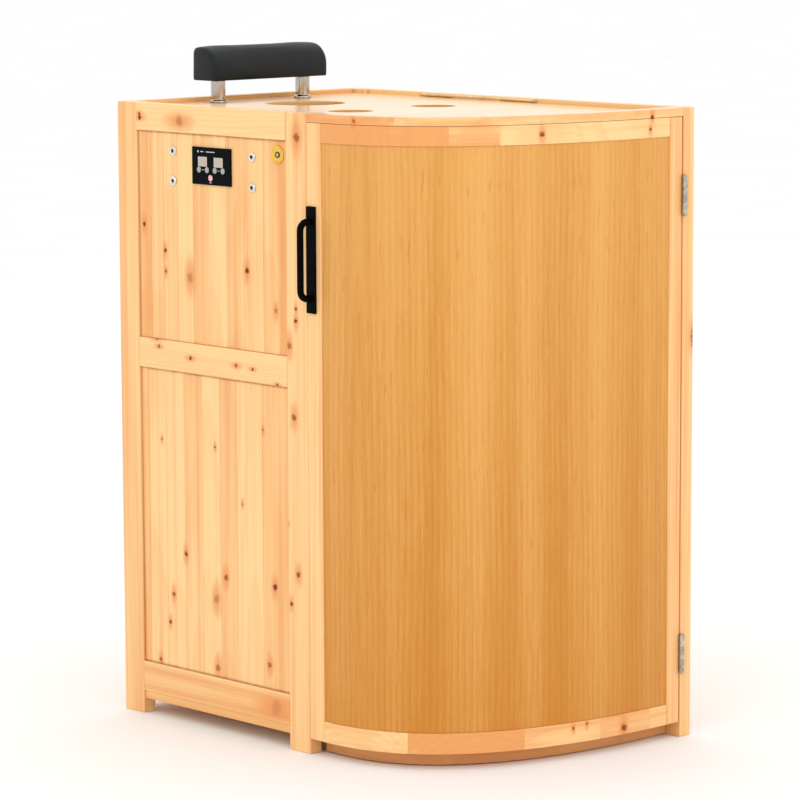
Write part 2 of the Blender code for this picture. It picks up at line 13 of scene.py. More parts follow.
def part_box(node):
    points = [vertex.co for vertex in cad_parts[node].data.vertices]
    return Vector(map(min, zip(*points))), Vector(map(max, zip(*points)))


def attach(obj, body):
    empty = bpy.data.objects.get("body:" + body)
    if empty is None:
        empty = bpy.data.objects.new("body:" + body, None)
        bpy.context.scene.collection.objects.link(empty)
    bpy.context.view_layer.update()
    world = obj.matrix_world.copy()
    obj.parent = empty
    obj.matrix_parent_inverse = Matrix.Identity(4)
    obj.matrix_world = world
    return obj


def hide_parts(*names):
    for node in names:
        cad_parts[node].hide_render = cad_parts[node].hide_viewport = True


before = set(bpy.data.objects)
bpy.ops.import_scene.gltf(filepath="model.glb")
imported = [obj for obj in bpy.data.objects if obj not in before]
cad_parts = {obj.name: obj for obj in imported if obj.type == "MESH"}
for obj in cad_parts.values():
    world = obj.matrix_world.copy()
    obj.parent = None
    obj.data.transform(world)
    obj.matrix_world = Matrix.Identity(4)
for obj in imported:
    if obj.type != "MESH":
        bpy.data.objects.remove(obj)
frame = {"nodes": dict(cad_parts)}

LOG = logging.getLogger("steam_sauna")
GAP = 0.0003
FITS = 1e-5

Point = tuple[float, float, float]
Flat = tuple[float, float]
Colour = tuple[float, float, float]


# ---- modelling bench ----------------------------------------------------------------------
class Axis(Enum):
    """A direction of the row frame."""

    X = 0
    Y = 1
    Z = 2

    def unit(self) -> Vector:
        """The direction as a unit vector."""
        return Vector([1.0 if step == self.value else 0.0 for step in range(3)])


class Bench:
    """The modelling moves that every sub-assembly shares."""

    @staticmethod
    def clear() -> None:
        """Leaves edit mode and deselects everything."""
        if bpy.context.object is not None and bpy.context.object.mode != "OBJECT":
            bpy.ops.object.mode_set(mode="OBJECT")
        bpy.ops.object.select_all(action="DESELECT")

    @staticmethod
    def take(piece: bpy.types.Object) -> None:
        """Makes one piece the only selected one."""
        Bench.clear()
        piece.select_set(True)
        bpy.context.view_layer.objects.active = piece

    @staticmethod
    def settle(piece: bpy.types.Object) -> bpy.types.Object:
        """Moves a piece's place, turn and size into its mesh.

        Args:
            piece: The piece to settle.

        Returns:
            The same piece, sitting at the origin.
        """
        Bench.take(piece)
        bpy.ops.object.transform_apply(location=True, rotation=True, scale=True)
        return piece

    @staticmethod
    def edit(piece: bpy.types.Object, mode: str = "FACE") -> None:
        """Opens a piece in edit mode with everything selected."""
        Bench.take(piece)
        bpy.ops.object.mode_set(mode="EDIT")
        bpy.ops.mesh.select_mode(type=mode)
        bpy.ops.mesh.select_all(action="SELECT")

    @staticmethod
    def tidy(piece: bpy.types.Object) -> bpy.types.Object:
        """Merges doubled points and turns every face outwards."""
        Bench.edit(piece)
        bpy.ops.mesh.remove_doubles(threshold=FITS)
        bpy.ops.mesh.normals_make_consistent(inside=False)
        bpy.ops.object.mode_set(mode="OBJECT")
        return piece

    @staticmethod
    def modify(piece: bpy.types.Object, kind: str, **settings: object) -> bpy.types.Object:
        """Adds one modifier and applies it.

        Args:
            piece: The piece to change.
            kind: The modifier's type.
            **settings: The modifier's own settings.

        Returns:
            The same piece.
        """
        Bench.take(piece)
        modifier = piece.modifiers.new(kind.lower(), kind)
        for name, value in settings.items():
            setattr(modifier, name, value)
        bpy.ops.object.modifier_apply(modifier=modifier.name)
        return piece

    @staticmethod
    def ease(piece: bpy.types.Object, width: float, segments: int = 2, angle: float = 35.0) -> bpy.types.Object:
        """Rounds a piece's sharp edges and shades it smooth between flat faces.

        Args:
            piece: The piece to ease.
            width: Width of the rounding in metres.
            segments: Steps across the rounding.
            angle: Edges sharper than this many degrees are rounded.

        Returns:
            The same piece.
        """
        Bench.modify(piece, "BEVEL", width=width, segments=segments, limit_method="ANGLE",
                     angle_limit=math.radians(angle), use_clamp_overlap=True)
        return Bench.smooth(piece)

    @staticmethod
    def smooth(piece: bpy.types.Object, angle: float = 40.0) -> bpy.types.Object:
        """Shades a piece smooth, with flat faces kept flat."""
        Bench.take(piece)
        bpy.ops.object.shade_smooth_by_angle(angle=math.radians(angle), keep_sharp_edges=False)
        return Bench.modify(piece, "WEIGHTED_NORMAL", keep_sharp=True, weight=100)

    @staticmethod
    def block(name: str, low: Sequence[float], high: Sequence[float], edge: float = 0.0008,
              segments: int = 2) -> bpy.types.Object:
        """Makes a block with eased edges.

        Args:
            name: The piece's name.
            low: Its lowest corner.
            high: Its highest corner.
            edge: Width of the easing, or 0 for none.
            segments: Steps across the easing.

        Returns:
            The new piece.
        """
        Bench.clear()
        middle = [(a + b) / 2 for a, b in zip(low, high)]
        bpy.ops.mesh.primitive_cube_add(size=1, location=middle)
        piece = bpy.context.object
        piece.name = name
        piece.scale = [b - a for a, b in zip(low, high)]
        Bench.settle(piece)
        return Bench.ease(piece, edge, segments) if edge else piece

    @staticmethod
    def slab(name: str, outline: Sequence[Flat], low: float, high: float, edge: float = 0.0,
             along: Axis = Axis.Z) -> bpy.types.Object:
        """Raises a flat outline into a solid.

        Args:
            name: The piece's name.
            outline: Points of the outline, as (x, y), or as (y, z) where it runs along X.
            low: Where the solid starts.
            high: Where it ends.
            edge: Width of the easing, or 0 for none.
            along: The direction that it is raised in, X or Z.

        Returns:
            The new piece.
        """
        Bench.clear()
        bpy.ops.mesh.primitive_circle_add(vertices=len(outline), radius=1, fill_type="NGON")
        piece = bpy.context.object
        piece.name = name
        for corner, (a, b) in zip(piece.data.vertices, outline):
            corner.co = (a, b, low) if along is Axis.Z else (low, a, b)
        Bench.edit(piece)
        bpy.ops.mesh.extrude_region_move(TRANSFORM_OT_translate={"value": along.unit() * (high - low)})
        bpy.ops.object.mode_set(mode="OBJECT")
        Bench.tidy(piece)
        return Bench.ease(piece, edge) if edge else piece

    @staticmethod
    def strip(name: str, inner: Sequence[Flat], outer: Sequence[Flat], low: float, high: float,
              edge: float = 0.0) -> bpy.types.Object:
        """Raises the band between two plan lines into a curved wall.

        Args:
            name: The piece's name.
            inner: Points of the inner line.
            outer: As many points of the outer line.
            low: Height of its lower side.
            high: Height of its upper side.
            edge: Width of the easing, or 0 for none.

        Returns:
            The new piece.
        """
        Bench.clear()
        count = len(inner)
        bpy.ops.mesh.primitive_grid_add(x_subdivisions=count - 1, y_subdivisions=1, size=1)
        piece = bpy.context.object
        piece.name = name
        for corner, (x, y) in zip(piece.data.vertices, [*inner, *outer]):
            corner.co = (x, y, low)
        Bench.edit(piece)
        bpy.ops.mesh.extrude_region_move(TRANSFORM_OT_translate={"value": (0, 0, high - low)})
        bpy.ops.object.mode_set(mode="OBJECT")
        Bench.tidy(piece)
        return Bench.ease(piece, edge) if edge else Bench.smooth(piece)

    @staticmethod
    def turned(name: str, profile: Sequence[Flat], place: Sequence[float], along: Axis = Axis.Z,
               steps: int = 48) -> bpy.types.Object:
        """Turns a profile round an axis, ring by ring.

        Args:
            name: The piece's name.
            profile: (radius, height) of each ring, from one end to the other.
            place: Where the axis starts.
            along: The axis; a profile's height runs along it.
            steps: Points in each ring.

        Returns:
            The new piece.
        """
        Bench.clear()
        rings = [(max(radius, FITS / 4), height) for radius, height in profile]
        bpy.ops.mesh.primitive_circle_add(vertices=steps, radius=rings[0][0], fill_type="NOTHING",
                                          location=(0, 0, rings[0][1]))
        piece = Bench.settle(bpy.context.object)
        piece.name = name
        Bench.edit(piece, "VERT")
        for (before, low), (radius, high) in zip(rings, rings[1:]):
            bpy.ops.mesh.extrude_edges_move(TRANSFORM_OT_translate={"value": (0, 0, high - low)})
            bpy.ops.transform.resize(value=(radius / before, radius / before, 1), center_override=(0, 0, high))
        bpy.ops.object.mode_set(mode="OBJECT")
        Bench.tidy(piece)
        turn = {Axis.X: Matrix.Rotation(math.pi / 2, 4, "Y"), Axis.Y: Matrix.Rotation(-math.pi / 2, 4, "X"),
                Axis.Z: Matrix.Identity(4)}[along]
        piece.matrix_world = Matrix.Translation(place) @ turn
        return Bench.smooth(Bench.settle(piece))

    @staticmethod
    def drill(piece: bpy.types.Object, cutters: Iterable[bpy.types.Object]) -> bpy.types.Object:
        """Cuts other pieces out of this one and throws them away."""
        for cutter in cutters:
            Bench.modify(piece, "BOOLEAN", operation="DIFFERENCE", object=cutter, solver="EXACT")
            bpy.data.objects.remove(cutter, do_unlink=True)
        return piece

    @staticmethod
    def gather(name: str, pieces: Sequence[bpy.types.Object]) -> bpy.types.Object:
        """Joins several pieces into one.

        Args:
            name: The joined piece's name.
            pieces: The pieces, of which the first keeps its object.

        Returns:
            The joined piece.
        """
        Bench.clear()
        for piece in pieces:
            piece.select_set(True)
        bpy.context.view_layer.objects.active = pieces[0]
        if len(pieces) > 1:
            bpy.ops.object.join()
        pieces[0].name = name
        return pieces[0]

    @staticmethod
    def copy(piece: bpy.types.Object, name: str, shift: Sequence[float]) -> bpy.types.Object:
        """Copies a piece, mesh and all, and moves the copy's mesh.

        Args:
            piece: The piece to copy.
            name: The copy's name.
            shift: How far the copy is moved.

        Returns:
            The copy.
        """
        twin = piece.copy()
        twin.data = piece.data.copy()
        twin.name = name
        bpy.context.scene.collection.objects.link(twin)
        twin.location = shift
        return Bench.settle(twin)

    @staticmethod
    def fit(piece: bpy.types.Object, body: str, slot: str, finish: bpy.types.Material,
            *nodes: str) -> bpy.types.Object:
        """Gives a finished piece its finish and body, and hides the nodes that it stands for.

        Args:
            piece: The finished piece.
            body: The body that it rides on.
            slot: Not used.
            finish: Its material.
            *nodes: Nodes that it stands for.

        Returns:
            The same piece.
        """
        piece.data.materials.clear()
        piece.data.materials.append(finish)
        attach(piece, body)
        if nodes:
            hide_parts(*nodes)
        LOG.info("%s: %d faces on %s", piece.name, len(piece.data.polygons), body)
        return piece


def outer_middle(node: str) -> Point:
    """The middle of a node's outer side on the left wall."""
    low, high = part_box(node)
    return low.x, (low.y + high.y) / 2, (low.z + high.z) / 2


# ---- boards and grain ---------------------------------------------------------------------
@dataclass(frozen=True)
class Board:
    """One board of timber: where it was sawn from, and how it lies on the object."""

    origin: Point
    along: Point
    across: Point
    tone: float = 0.5
    seed: float = 0.0
    heart: Flat = (0.02, 0.05)

    def measure(self, place: Vector) -> Point:
        """A point's place in the log: along the grain, then across and through it."""
        step = place - Vector(self.origin)
        along, across = Vector(self.along), Vector(self.across)
        through = along.cross(across)
        return (step.dot(along) + 3.7 * self.seed, step.dot(across) + self.heart[0],
                step.dot(through) + self.heart[1])


def lay_grain(piece: bpy.types.Object, board_at: Callable[[Vector], Board]) -> None:
    """Writes on each face corner its place in its own board, and on each face the board's tone.

    Args:
        piece: The finished mesh.
        board_at: Gives the board that a face's middle belongs to.
    """
    grain = piece.data.attributes.new("grain", "FLOAT_VECTOR", "CORNER")
    tone = piece.data.attributes.new("tone", "FLOAT", "FACE")
    corners, points = piece.data.loops, piece.data.vertices
    for face in piece.data.polygons:
        board = board_at(face.center)
        tone.data[face.index].value = board.tone
        for corner in face.loop_indices:
            grain.data[corner].vector = board.measure(points[corners[corner].vertex_index].co)


# ---- shader tree --------------------------------------------------------------------------
class Wire:
    """One output of a shader tree, which answers to ordinary arithmetic."""

    def __init__(self, tree: "Tree", socket: bpy.types.NodeSocket) -> None:
        """Wraps a socket of a tree."""
        self.tree = tree
        self.socket = socket

    def __add__(self, other: "Number") -> "Wire":
        """Sum."""
        return self.tree.maths("ADD", self, other)

    def __radd__(self, other: "Number") -> "Wire":
        """Sum, with the wire on the right."""
        return self.tree.maths("ADD", other, self)

    def __sub__(self, other: "Number") -> "Wire":
        """Difference."""
        return self.tree.maths("SUBTRACT", self, other)

    def __rsub__(self, other: "Number") -> "Wire":
        """Difference, with the wire on the right."""
        return self.tree.maths("SUBTRACT", other, self)

    def __mul__(self, other: "Number") -> "Wire":
        """Product."""
        return self.tree.maths("MULTIPLY", self, other)

    def __rmul__(self, other: "Number") -> "Wire":
        """Product, with the wire on the right."""
        return self.tree.maths("MULTIPLY", other, self)

    def __truediv__(self, other: "Number") -> "Wire":
        """Quotient."""
        return self.tree.maths("DIVIDE", self, other)

    def __rtruediv__(self, other: "Number") -> "Wire":
        """Quotient, with the wire below."""
        return self.tree.maths("DIVIDE", other, self)

    def fraction(self) -> "Wire":
        """The part after the point."""
        return self.tree.maths("FRACT", self)

    def least(self, other: "Number") -> "Wire":
        """The smaller of two."""
        return self.tree.maths("MINIMUM", self, other)

    def most(self, other: "Number") -> "Wire":
        """The larger of two."""
        return self.tree.maths("MAXIMUM", self, other)

    def root(self) -> "Wire":
        """Square root."""
        return self.tree.maths("SQRT", self)

    def step(self, start: float, end: float, low: float = 0.0, high: float = 1.0) -> "Wire":
        """A smooth step from low to high as the wire goes from start to end.

        Args:
            start: Where the step starts.
            end: Where it ends.
            low: Value before it.
            high: Value after it.

        Returns:
            The stepped wire.
        """
        node = self.tree.add("MapRange", {"interpolation_type": "SMOOTHSTEP"},
                             {0: self, 1: start, 2: end, 3: low, 4: high})
        return Wire(self.tree, node.outputs[0])


Number = Union[Wire, float]


class Tree:
    """The shader tree of one finish while it is being built."""

    def __init__(self, name: str) -> None:
        """Starts an empty tree in a new material."""
        self.material = bpy.data.materials.new(name)
        self.material.use_nodes = True
        self.nodes = self.material.node_tree.nodes
        self.nodes.clear()

    def add(self, kind: str, settings: Optional[Mapping[str, object]] = None,
            values: Optional[Mapping[Union[str, int], object]] = None) -> bpy.types.Node:
        """Adds one node: its settings first, then its values and links.

        Args:
            kind: The node's type, without its prefix.
            settings: Properties of the node.
            values: A wire or a constant for each named or numbered input.

        Returns:
            The new node.
        """
        node = self.nodes.new("ShaderNode" + kind)
        for name, value in (settings or {}).items():
            setattr(node, name, value)
        for name, value in (values or {}).items():
            if isinstance(value, Wire):
                self.material.node_tree.links.new(value.socket, node.inputs[name])
            else:
                node.inputs[name].default_value = value
        return node

    def maths(self, operation: str, *terms: Number) -> Wire:
        """One sum on numbers."""
        return Wire(self, self.add("Math", {"operation": operation}, dict(enumerate(terms))).outputs[0])

    def vector(self, operation: str, *terms: Union[Wire, Point]) -> Wire:
        """One sum on vectors; a length comes back as a number."""
        node = self.add("VectorMath", {"operation": operation}, dict(enumerate(terms)))
        return Wire(self, node.outputs[1 if operation == "LENGTH" else 0])

    def object_place(self) -> Wire:
        """The place on the object."""
        return Wire(self, self.add("TexCoord").outputs["Object"])

    def attribute(self, name: str, output: str) -> Wire:
        """A value carried by the mesh."""
        return Wire(self, self.add("Attribute", {"attribute_name": name}).outputs[output])

    def split(self, vector: Wire) -> tuple[Wire, Wire, Wire]:
        """A vector's three parts."""
        node = self.add("SeparateXYZ", None, {0: vector})
        return Wire(self, node.outputs[0]), Wire(self, node.outputs[1]), Wire(self, node.outputs[2])

    def join(self, x: Number, y: Number, z: Number) -> Wire:
        """A vector made of three parts."""
        return Wire(self, self.add("CombineXYZ", None, {0: x, 1: y, 2: z}).outputs[0])

    def noise(self, place: Wire, scale: float = 1.0, detail: float = 2.0, roughness: float = 0.5) -> Wire:
        """Soft noise from 0 to 1."""
        node = self.add("TexNoise", None, {"Vector": place, "Scale": scale, "Detail": detail,
                                           "Roughness": roughness})
        return Wire(self, node.outputs[0])

    def cells(self, place: Wire, scale: float = 1.0) -> tuple[Wire, Wire]:
        """Distance to the nearest of many scattered points, and that point's own colour."""
        node = self.add("TexVoronoi", None, {"Vector": place, "Scale": scale})
        return Wire(self, node.outputs["Distance"]), Wire(self, node.outputs["Color"])

    def blend(self, factor: Number, first: Union[Wire, Colour], second: Union[Wire, Colour]) -> Wire:
        """Goes from the first colour to the second.

        Args:
            factor: 0 for the first, 1 for the second.
            first: A wire or a plain colour.
            second: A wire or a plain colour.

        Returns:
            The blended colour.
        """
        ends = [end if isinstance(end, Wire) else (*end, 1.0) for end in (first, second)]
        node = self.add("Mix", {"data_type": "RGBA"}, {0: factor, 6: ends[0], 7: ends[1]})
        return Wire(self, node.outputs[2])

    def relief(self, height: Wire, depth: float, strength: float = 1.0) -> Wire:
        """A bump in the surface.

        Args:
            height: How high each point stands, from 0 to 1.
            depth: What 1 means, in metres.
            strength: How much of it shows.

        Returns:
            The bumped normal.
        """
        node = self.add("Bump", None, {"Strength": strength, "Distance": depth, "Height": height})
        return Wire(self, node.outputs[0])

    def surface(self, **values: object) -> bpy.types.Material:
        """Closes the tree with its surface shader.

        Args:
            **values: Inputs of the shader, with _ for a space and in lower case.

        Returns:
            The finished material.
        """
        spelled = {"ior": "IOR", "specular_ior_level": "Specular IOR Level"}
        named = {spelled.get(name, name.replace("_", " ").title()): value for name, value in values.items()}
        named = {name: (*value, 1.0) if isinstance(value, tuple) and len(value) == 3 else value
                 for name, value in named.items()}
        shader = self.add("BsdfPrincipled", None, named)
        self.material.node_tree.links.new(shader.outputs[0], self.add("OutputMaterial").inputs[0])
        return self.material


# ---- finishes -----------------------------------------------------------------------------
@dataclass(frozen=True)
class Knot:
    """A knot in the timber: where it is, how wide, and how dark."""

    place: Point
    size: float = 0.005
    dark: float = 1.0

    @staticmethod
    def rows(face: float, *rows: tuple[float, ...]) -> tuple["Knot", ...]:
        """Knots on a face of the left wall.

        Args:
            face: X of the face.
            *rows: Y, Z, size and, where it isn't 1, darkness of each knot.

        Returns:
            The knots.
        """
        return tuple(Knot((face, y, z), *rest) for y, z, *rest in rows)


class Run(Enum):
    """Which way the grain runs on a piece, or that the piece carries its own boards."""

    ALONG_X = 0
    ALONG_Y = 1
    ALONG_Z = 2
    BOARDS = 3


@dataclass(frozen=True)
class Pine:
    """Lacquered pine with soft rings, streaks and knots, and painted shade with grime along its seams."""

    name: str
    run: Run
    knots: tuple[Knot, ...] = ()
    heart: Point = (0.0, 0.0, 0.0)
    tone: float = 0.45
    spread: float = 1.0
    ring: float = 0.0052
    pale: Colour = (0.93, 0.610, 0.275)
    deep: Colour = (0.80, 0.345, 0.110)
    late: Colour = (0.70, 0.245, 0.055)
    halo: Colour = (0.76, 0.25, 0.055)
    knot: Colour = (0.21, 0.024, 0.001)
    # Colour of the thin dark line along each seam: painted shade in the recess between parts, with some grime.
    seam: Colour = (0.38, 0.120, 0.035)
    rough: float = 0.32
    coat: float = 0.25
    shine: float = 0.20
    scatter: float = 1.0
    # Where the painted seam shade is drawn: an axis and a place on it for each seam.
    seams: tuple[tuple[Axis, float], ...] = ()

    def material(self) -> bpy.types.Material:
        """Builds the finish.

        Returns:
            The material.
        """
        tree = Tree(self.name)
        place = tree.object_place()
        if self.run is Run.BOARDS:
            along, across, through = tree.split(tree.attribute("grain", "Vector"))
            tone: Number = (tree.attribute("tone", "Fac") - 0.45) * self.spread + self.tone
        else:
            parts = tree.split(tree.vector("ADD", place, self.heart))
            along, across, through = (parts[(self.run.value + turn) % 3] for turn in range(3))
            tone = self.tone
        near, dark = self.knot_reach(tree, place, along, across, through)
        drift = tree.noise(tree.join(along * 1.6, across * 5.0, through * 5.0), 1.0, 2.0) - 0.5
        sway = tree.noise(tree.join(along * 5.0 + 9.0, across * 22.0, through * 22.0), 1.0, 2.0) - 0.5
        side = across + drift * 0.014 + sway * 0.0022
        deep = through + along * 0.014 + drift * 0.012
        radius = (side * side + deep * deep).root() + near * 0.007
        turn = (radius / self.ring).fraction()
        late = turn.step(0.35, 0.90) * turn.step(1.0, 0.93)
        fibre = tree.noise(tree.join(along * 9.0, across * 420.0, through * 420.0), 1.0, 3.0, 0.6)
        streak = tree.noise(tree.join(along * 1.1, across * 62.0, through * 62.0), 1.0, 3.0, 0.55)
        cloud = tree.noise(tree.join(along * 2.2 + 4.0, across * 12.0, through * 12.0), 1.0, 2.0)
        warm = (tone + (cloud - 0.5) * 0.6 + (streak - 0.5) * 1.7).step(-0.05, 1.05)
        colour = tree.blend(warm, self.pale, self.deep)
        colour = tree.blend(late * 0.13 + (fibre - 0.5) * 0.22, colour, self.late)
        colour = tree.blend(near * 0.70, colour, self.halo)
        colour = tree.blend(dark, colour, self.knot)
        # Painted shade: a thin dark line along each listed seam stands in for the shade in the recess where a panel
        # meets a rail, with some grime mixed in by the noise.
        if self.seams:
            parts = dict(zip(Axis, tree.split(place)))
            reach = [tree.maths("ABSOLUTE", parts[axis] - at) for axis, at in self.seams]
            nearest = reach[0]
            for other in reach[1:]:
                nearest = nearest.least(other)
            seam_shade_and_grime = nearest.step(0.0048, 0.0006) * (cloud * 0.6 + streak * 0.9 - 0.15)
            colour = tree.blend(seam_shade_and_grime, colour, self.seam)
        height = fibre * 0.5 + late * 0.5 - dark * 0.8
        return tree.surface(base_color=colour, roughness=(fibre - 0.5) * 0.16 + self.rough + dark * 0.12,
                            normal=tree.relief(height, 0.00012, 0.5), coat_weight=(1.0 - dark) * self.coat,
                            coat_roughness=0.10, specular_ior_level=self.shine)

    def draw(self) -> Point:
        """How the glow round a knot is drawn out along the grain."""
        along = 2 if self.run is Run.BOARDS else self.run.value
        return tuple(0.42 if step == along else 1.0 for step in range(3))

    def knot_reach(self, tree: Tree, place: Wire, along: Wire, across: Wire, through: Wire) -> tuple[Wire, Wire]:
        """How near each point lies to a knot, and how dark the knot makes it.

        Args:
            tree: The tree being built.
            place: The place on the object.
            along: Place along the grain.
            across: Place across it.
            through: Place through it.

        Returns:
            Nearness to a knot and darkness, each from 0 to 1.
        """
        reach, tint = tree.cells(tree.join(along * 3.1, across * 8.0, through * 1.2))
        kept = 0.32 * self.scatter
        small = reach * 15.0 + tree.split(tint)[0].step(kept, kept + 0.02, 0.0, 9.0)
        ragged = tree.noise(place, 240.0, 2.0, 0.65) * 1.5 - 0.62
        near = small.step(2.4, 0.6)
        dark = (small + ragged).step(1.25, 0.75) * 0.75
        for knot in self.knots:
            offset = tree.vector("SUBTRACT", place, knot.place)
            distance = tree.vector("LENGTH", offset) / knot.size
            drawn = tree.vector("LENGTH", tree.vector("MULTIPLY", offset, self.draw())) / knot.size
            near = near.most(drawn.step(2.3, 0.4))
            dark = dark.most((distance + ragged).step(1.30, 0.55) * knot.dark)
        return near, dark


@dataclass(frozen=True)
class Veneer:
    """Golden veneer with upright grain and short pores, darker towards its foot as painted shade."""

    name: str = "veneer"
    light: Colour = (0.755, 0.385, 0.104)
    dark: Colour = (0.550, 0.205, 0.018)
    fleck: Colour = (0.600, 0.190, 0.030)
    rough: float = 0.34

    def material(self) -> bpy.types.Material:
        """Builds the finish.

        Returns:
            The material.
        """
        tree = Tree(self.name)
        along, across, _ = tree.split(tree.attribute("grain", "Vector"))
        drift = tree.noise(tree.join(along * 1.1, across * 4.0, 0.0), 1.0, 2.0) - 0.5
        sway = tree.noise(tree.join(along * 4.0, across * 26.0, 5.0), 1.0, 2.0) - 0.5
        side = across * 0.8 + drift * 0.022
        deep = 0.012 + along * 0.020 + drift * 0.012
        radius = (side * side + deep * deep).root() + sway * 0.0010
        rings = (radius / 0.0085).fraction()
        band = rings.step(0.1, 0.8) * rings.step(1.0, 0.85)
        broad = tree.noise(tree.join(along * 0.35, across * 13.0, 3.0), 1.0, 2.0)
        fibre = tree.noise(tree.join(along * 11.0, across * 300.0, 7.0), 1.0, 3.0, 0.65)
        pores = tree.noise(tree.join(along * 70.0, across * 1100.0, 2.0), 1.0, 1.0)
        fleck = tree.noise(tree.join(along * 19.0, across * 170.0, 1.0), 1.0, 1.0).step(0.64, 0.78)
        # The term along * 0.45 darkens the veneer towards its foot: painted shade of light falling from above.
        tint = (broad - 0.5) * 1.2 + (fibre - 0.5) * 0.72 + (pores - 0.5) * 0.35 + band * 0.14 - along * 0.45 + 0.44
        colour = tree.blend(tint.step(-0.1, 1.1), self.light, self.dark)
        colour = tree.blend(fleck * 0.55, colour, self.fleck)
        return tree.surface(base_color=colour, roughness=fleck * 0.10 + self.rough,
                            normal=tree.relief(fibre * 0.5 - fleck, 0.00008, 0.45), coat_weight=0.08,
                            coat_roughness=0.22, specular_ior_level=0.25)


@dataclass(frozen=True)
class Metal:
    """A metal with faint handling marks."""

    name: str
    colour: Colour
    rough: float = 0.14
    grain: float = 40.0
    metallic: float = 1.0
    relief: float = 0.00001
    wear: float = 0.10

    def material(self) -> bpy.types.Material:
        """Builds the finish.

        Returns:
            The material.
        """
        tree = Tree(self.name)
        place = tree.object_place()
        smear = tree.noise(place, self.grain, 3.0, 0.6)
        speck = tree.noise(place, self.grain * 22.0, 2.0, 0.6)
        worn = tuple(min(1.0, part * (1.0 - self.wear)) for part in self.colour)
        colour = tree.blend(smear.step(0.35, 0.75), self.colour, worn)
        return tree.surface(base_color=colour, metallic=self.metallic,
                            roughness=(smear - 0.5) * 0.12 + (speck - 0.5) * 0.05 + self.rough,
                            normal=tree.relief(speck, self.relief, 0.5))


@dataclass(frozen=True)
class Moulded:
    """A moulded plastic or a powder coat with a fine stipple."""

    name: str
    colour: Colour
    rough: float = 0.42
    stipple: float = 1400.0
    depth: float = 0.00003
    coat: float = 0.0
    shine: float = 0.4
    dust: float = 0.05

    def material(self) -> bpy.types.Material:
        """Builds the finish.

        Returns:
            The material.
        """
        tree = Tree(self.name)
        place = tree.object_place()
        dots = tree.noise(place, self.stipple, 2.0, 0.5)
        cloud = tree.noise(place, 18.0, 3.0, 0.55)
        dusty = tuple(part + (0.45 - part) * self.dust for part in self.colour)
        colour = tree.blend((cloud - 0.5) * 0.8 + (dots - 0.5) * 0.5 + 0.4, self.colour, dusty)
        return tree.surface(base_color=colour, roughness=(cloud - 0.5) * 0.10 + (dots - 0.5) * 0.08 + self.rough,
                            normal=tree.relief(dots, self.depth, 0.6), coat_weight=self.coat,
                            coat_roughness=0.05, specular_ior_level=self.shine)


@dataclass(frozen=True)
class Leatherette:
    """Black upholstery cover with a fine pebble and soft creases."""

    name: str = "leatherette"
    colour: Colour = (0.0045, 0.0065, 0.0085)
    crown: Colour = (0.012, 0.014, 0.016)

    def material(self) -> bpy.types.Material:
        """Builds the finish.

        Returns:
            The material.
        """
        tree = Tree(self.name)
        place = tree.object_place()
        pebble, _ = tree.cells(place, 900.0)
        crease = tree.noise(place, 130.0, 4.0, 0.6)
        cloud = tree.noise(place, 22.0, 3.0, 0.5)
        colour = tree.blend((cloud - 0.5) * 1.2 + (pebble - 0.4) * 0.5 + 0.4, self.colour, self.crown)
        height = pebble * 0.7 + crease * 0.6
        return tree.surface(base_color=colour, roughness=(cloud - 0.5) * 0.16 + pebble * 0.10 + 0.40,
                            normal=tree.relief(height, 0.00016, 0.55), sheen_weight=0.03,
                            specular_ior_level=0.22)


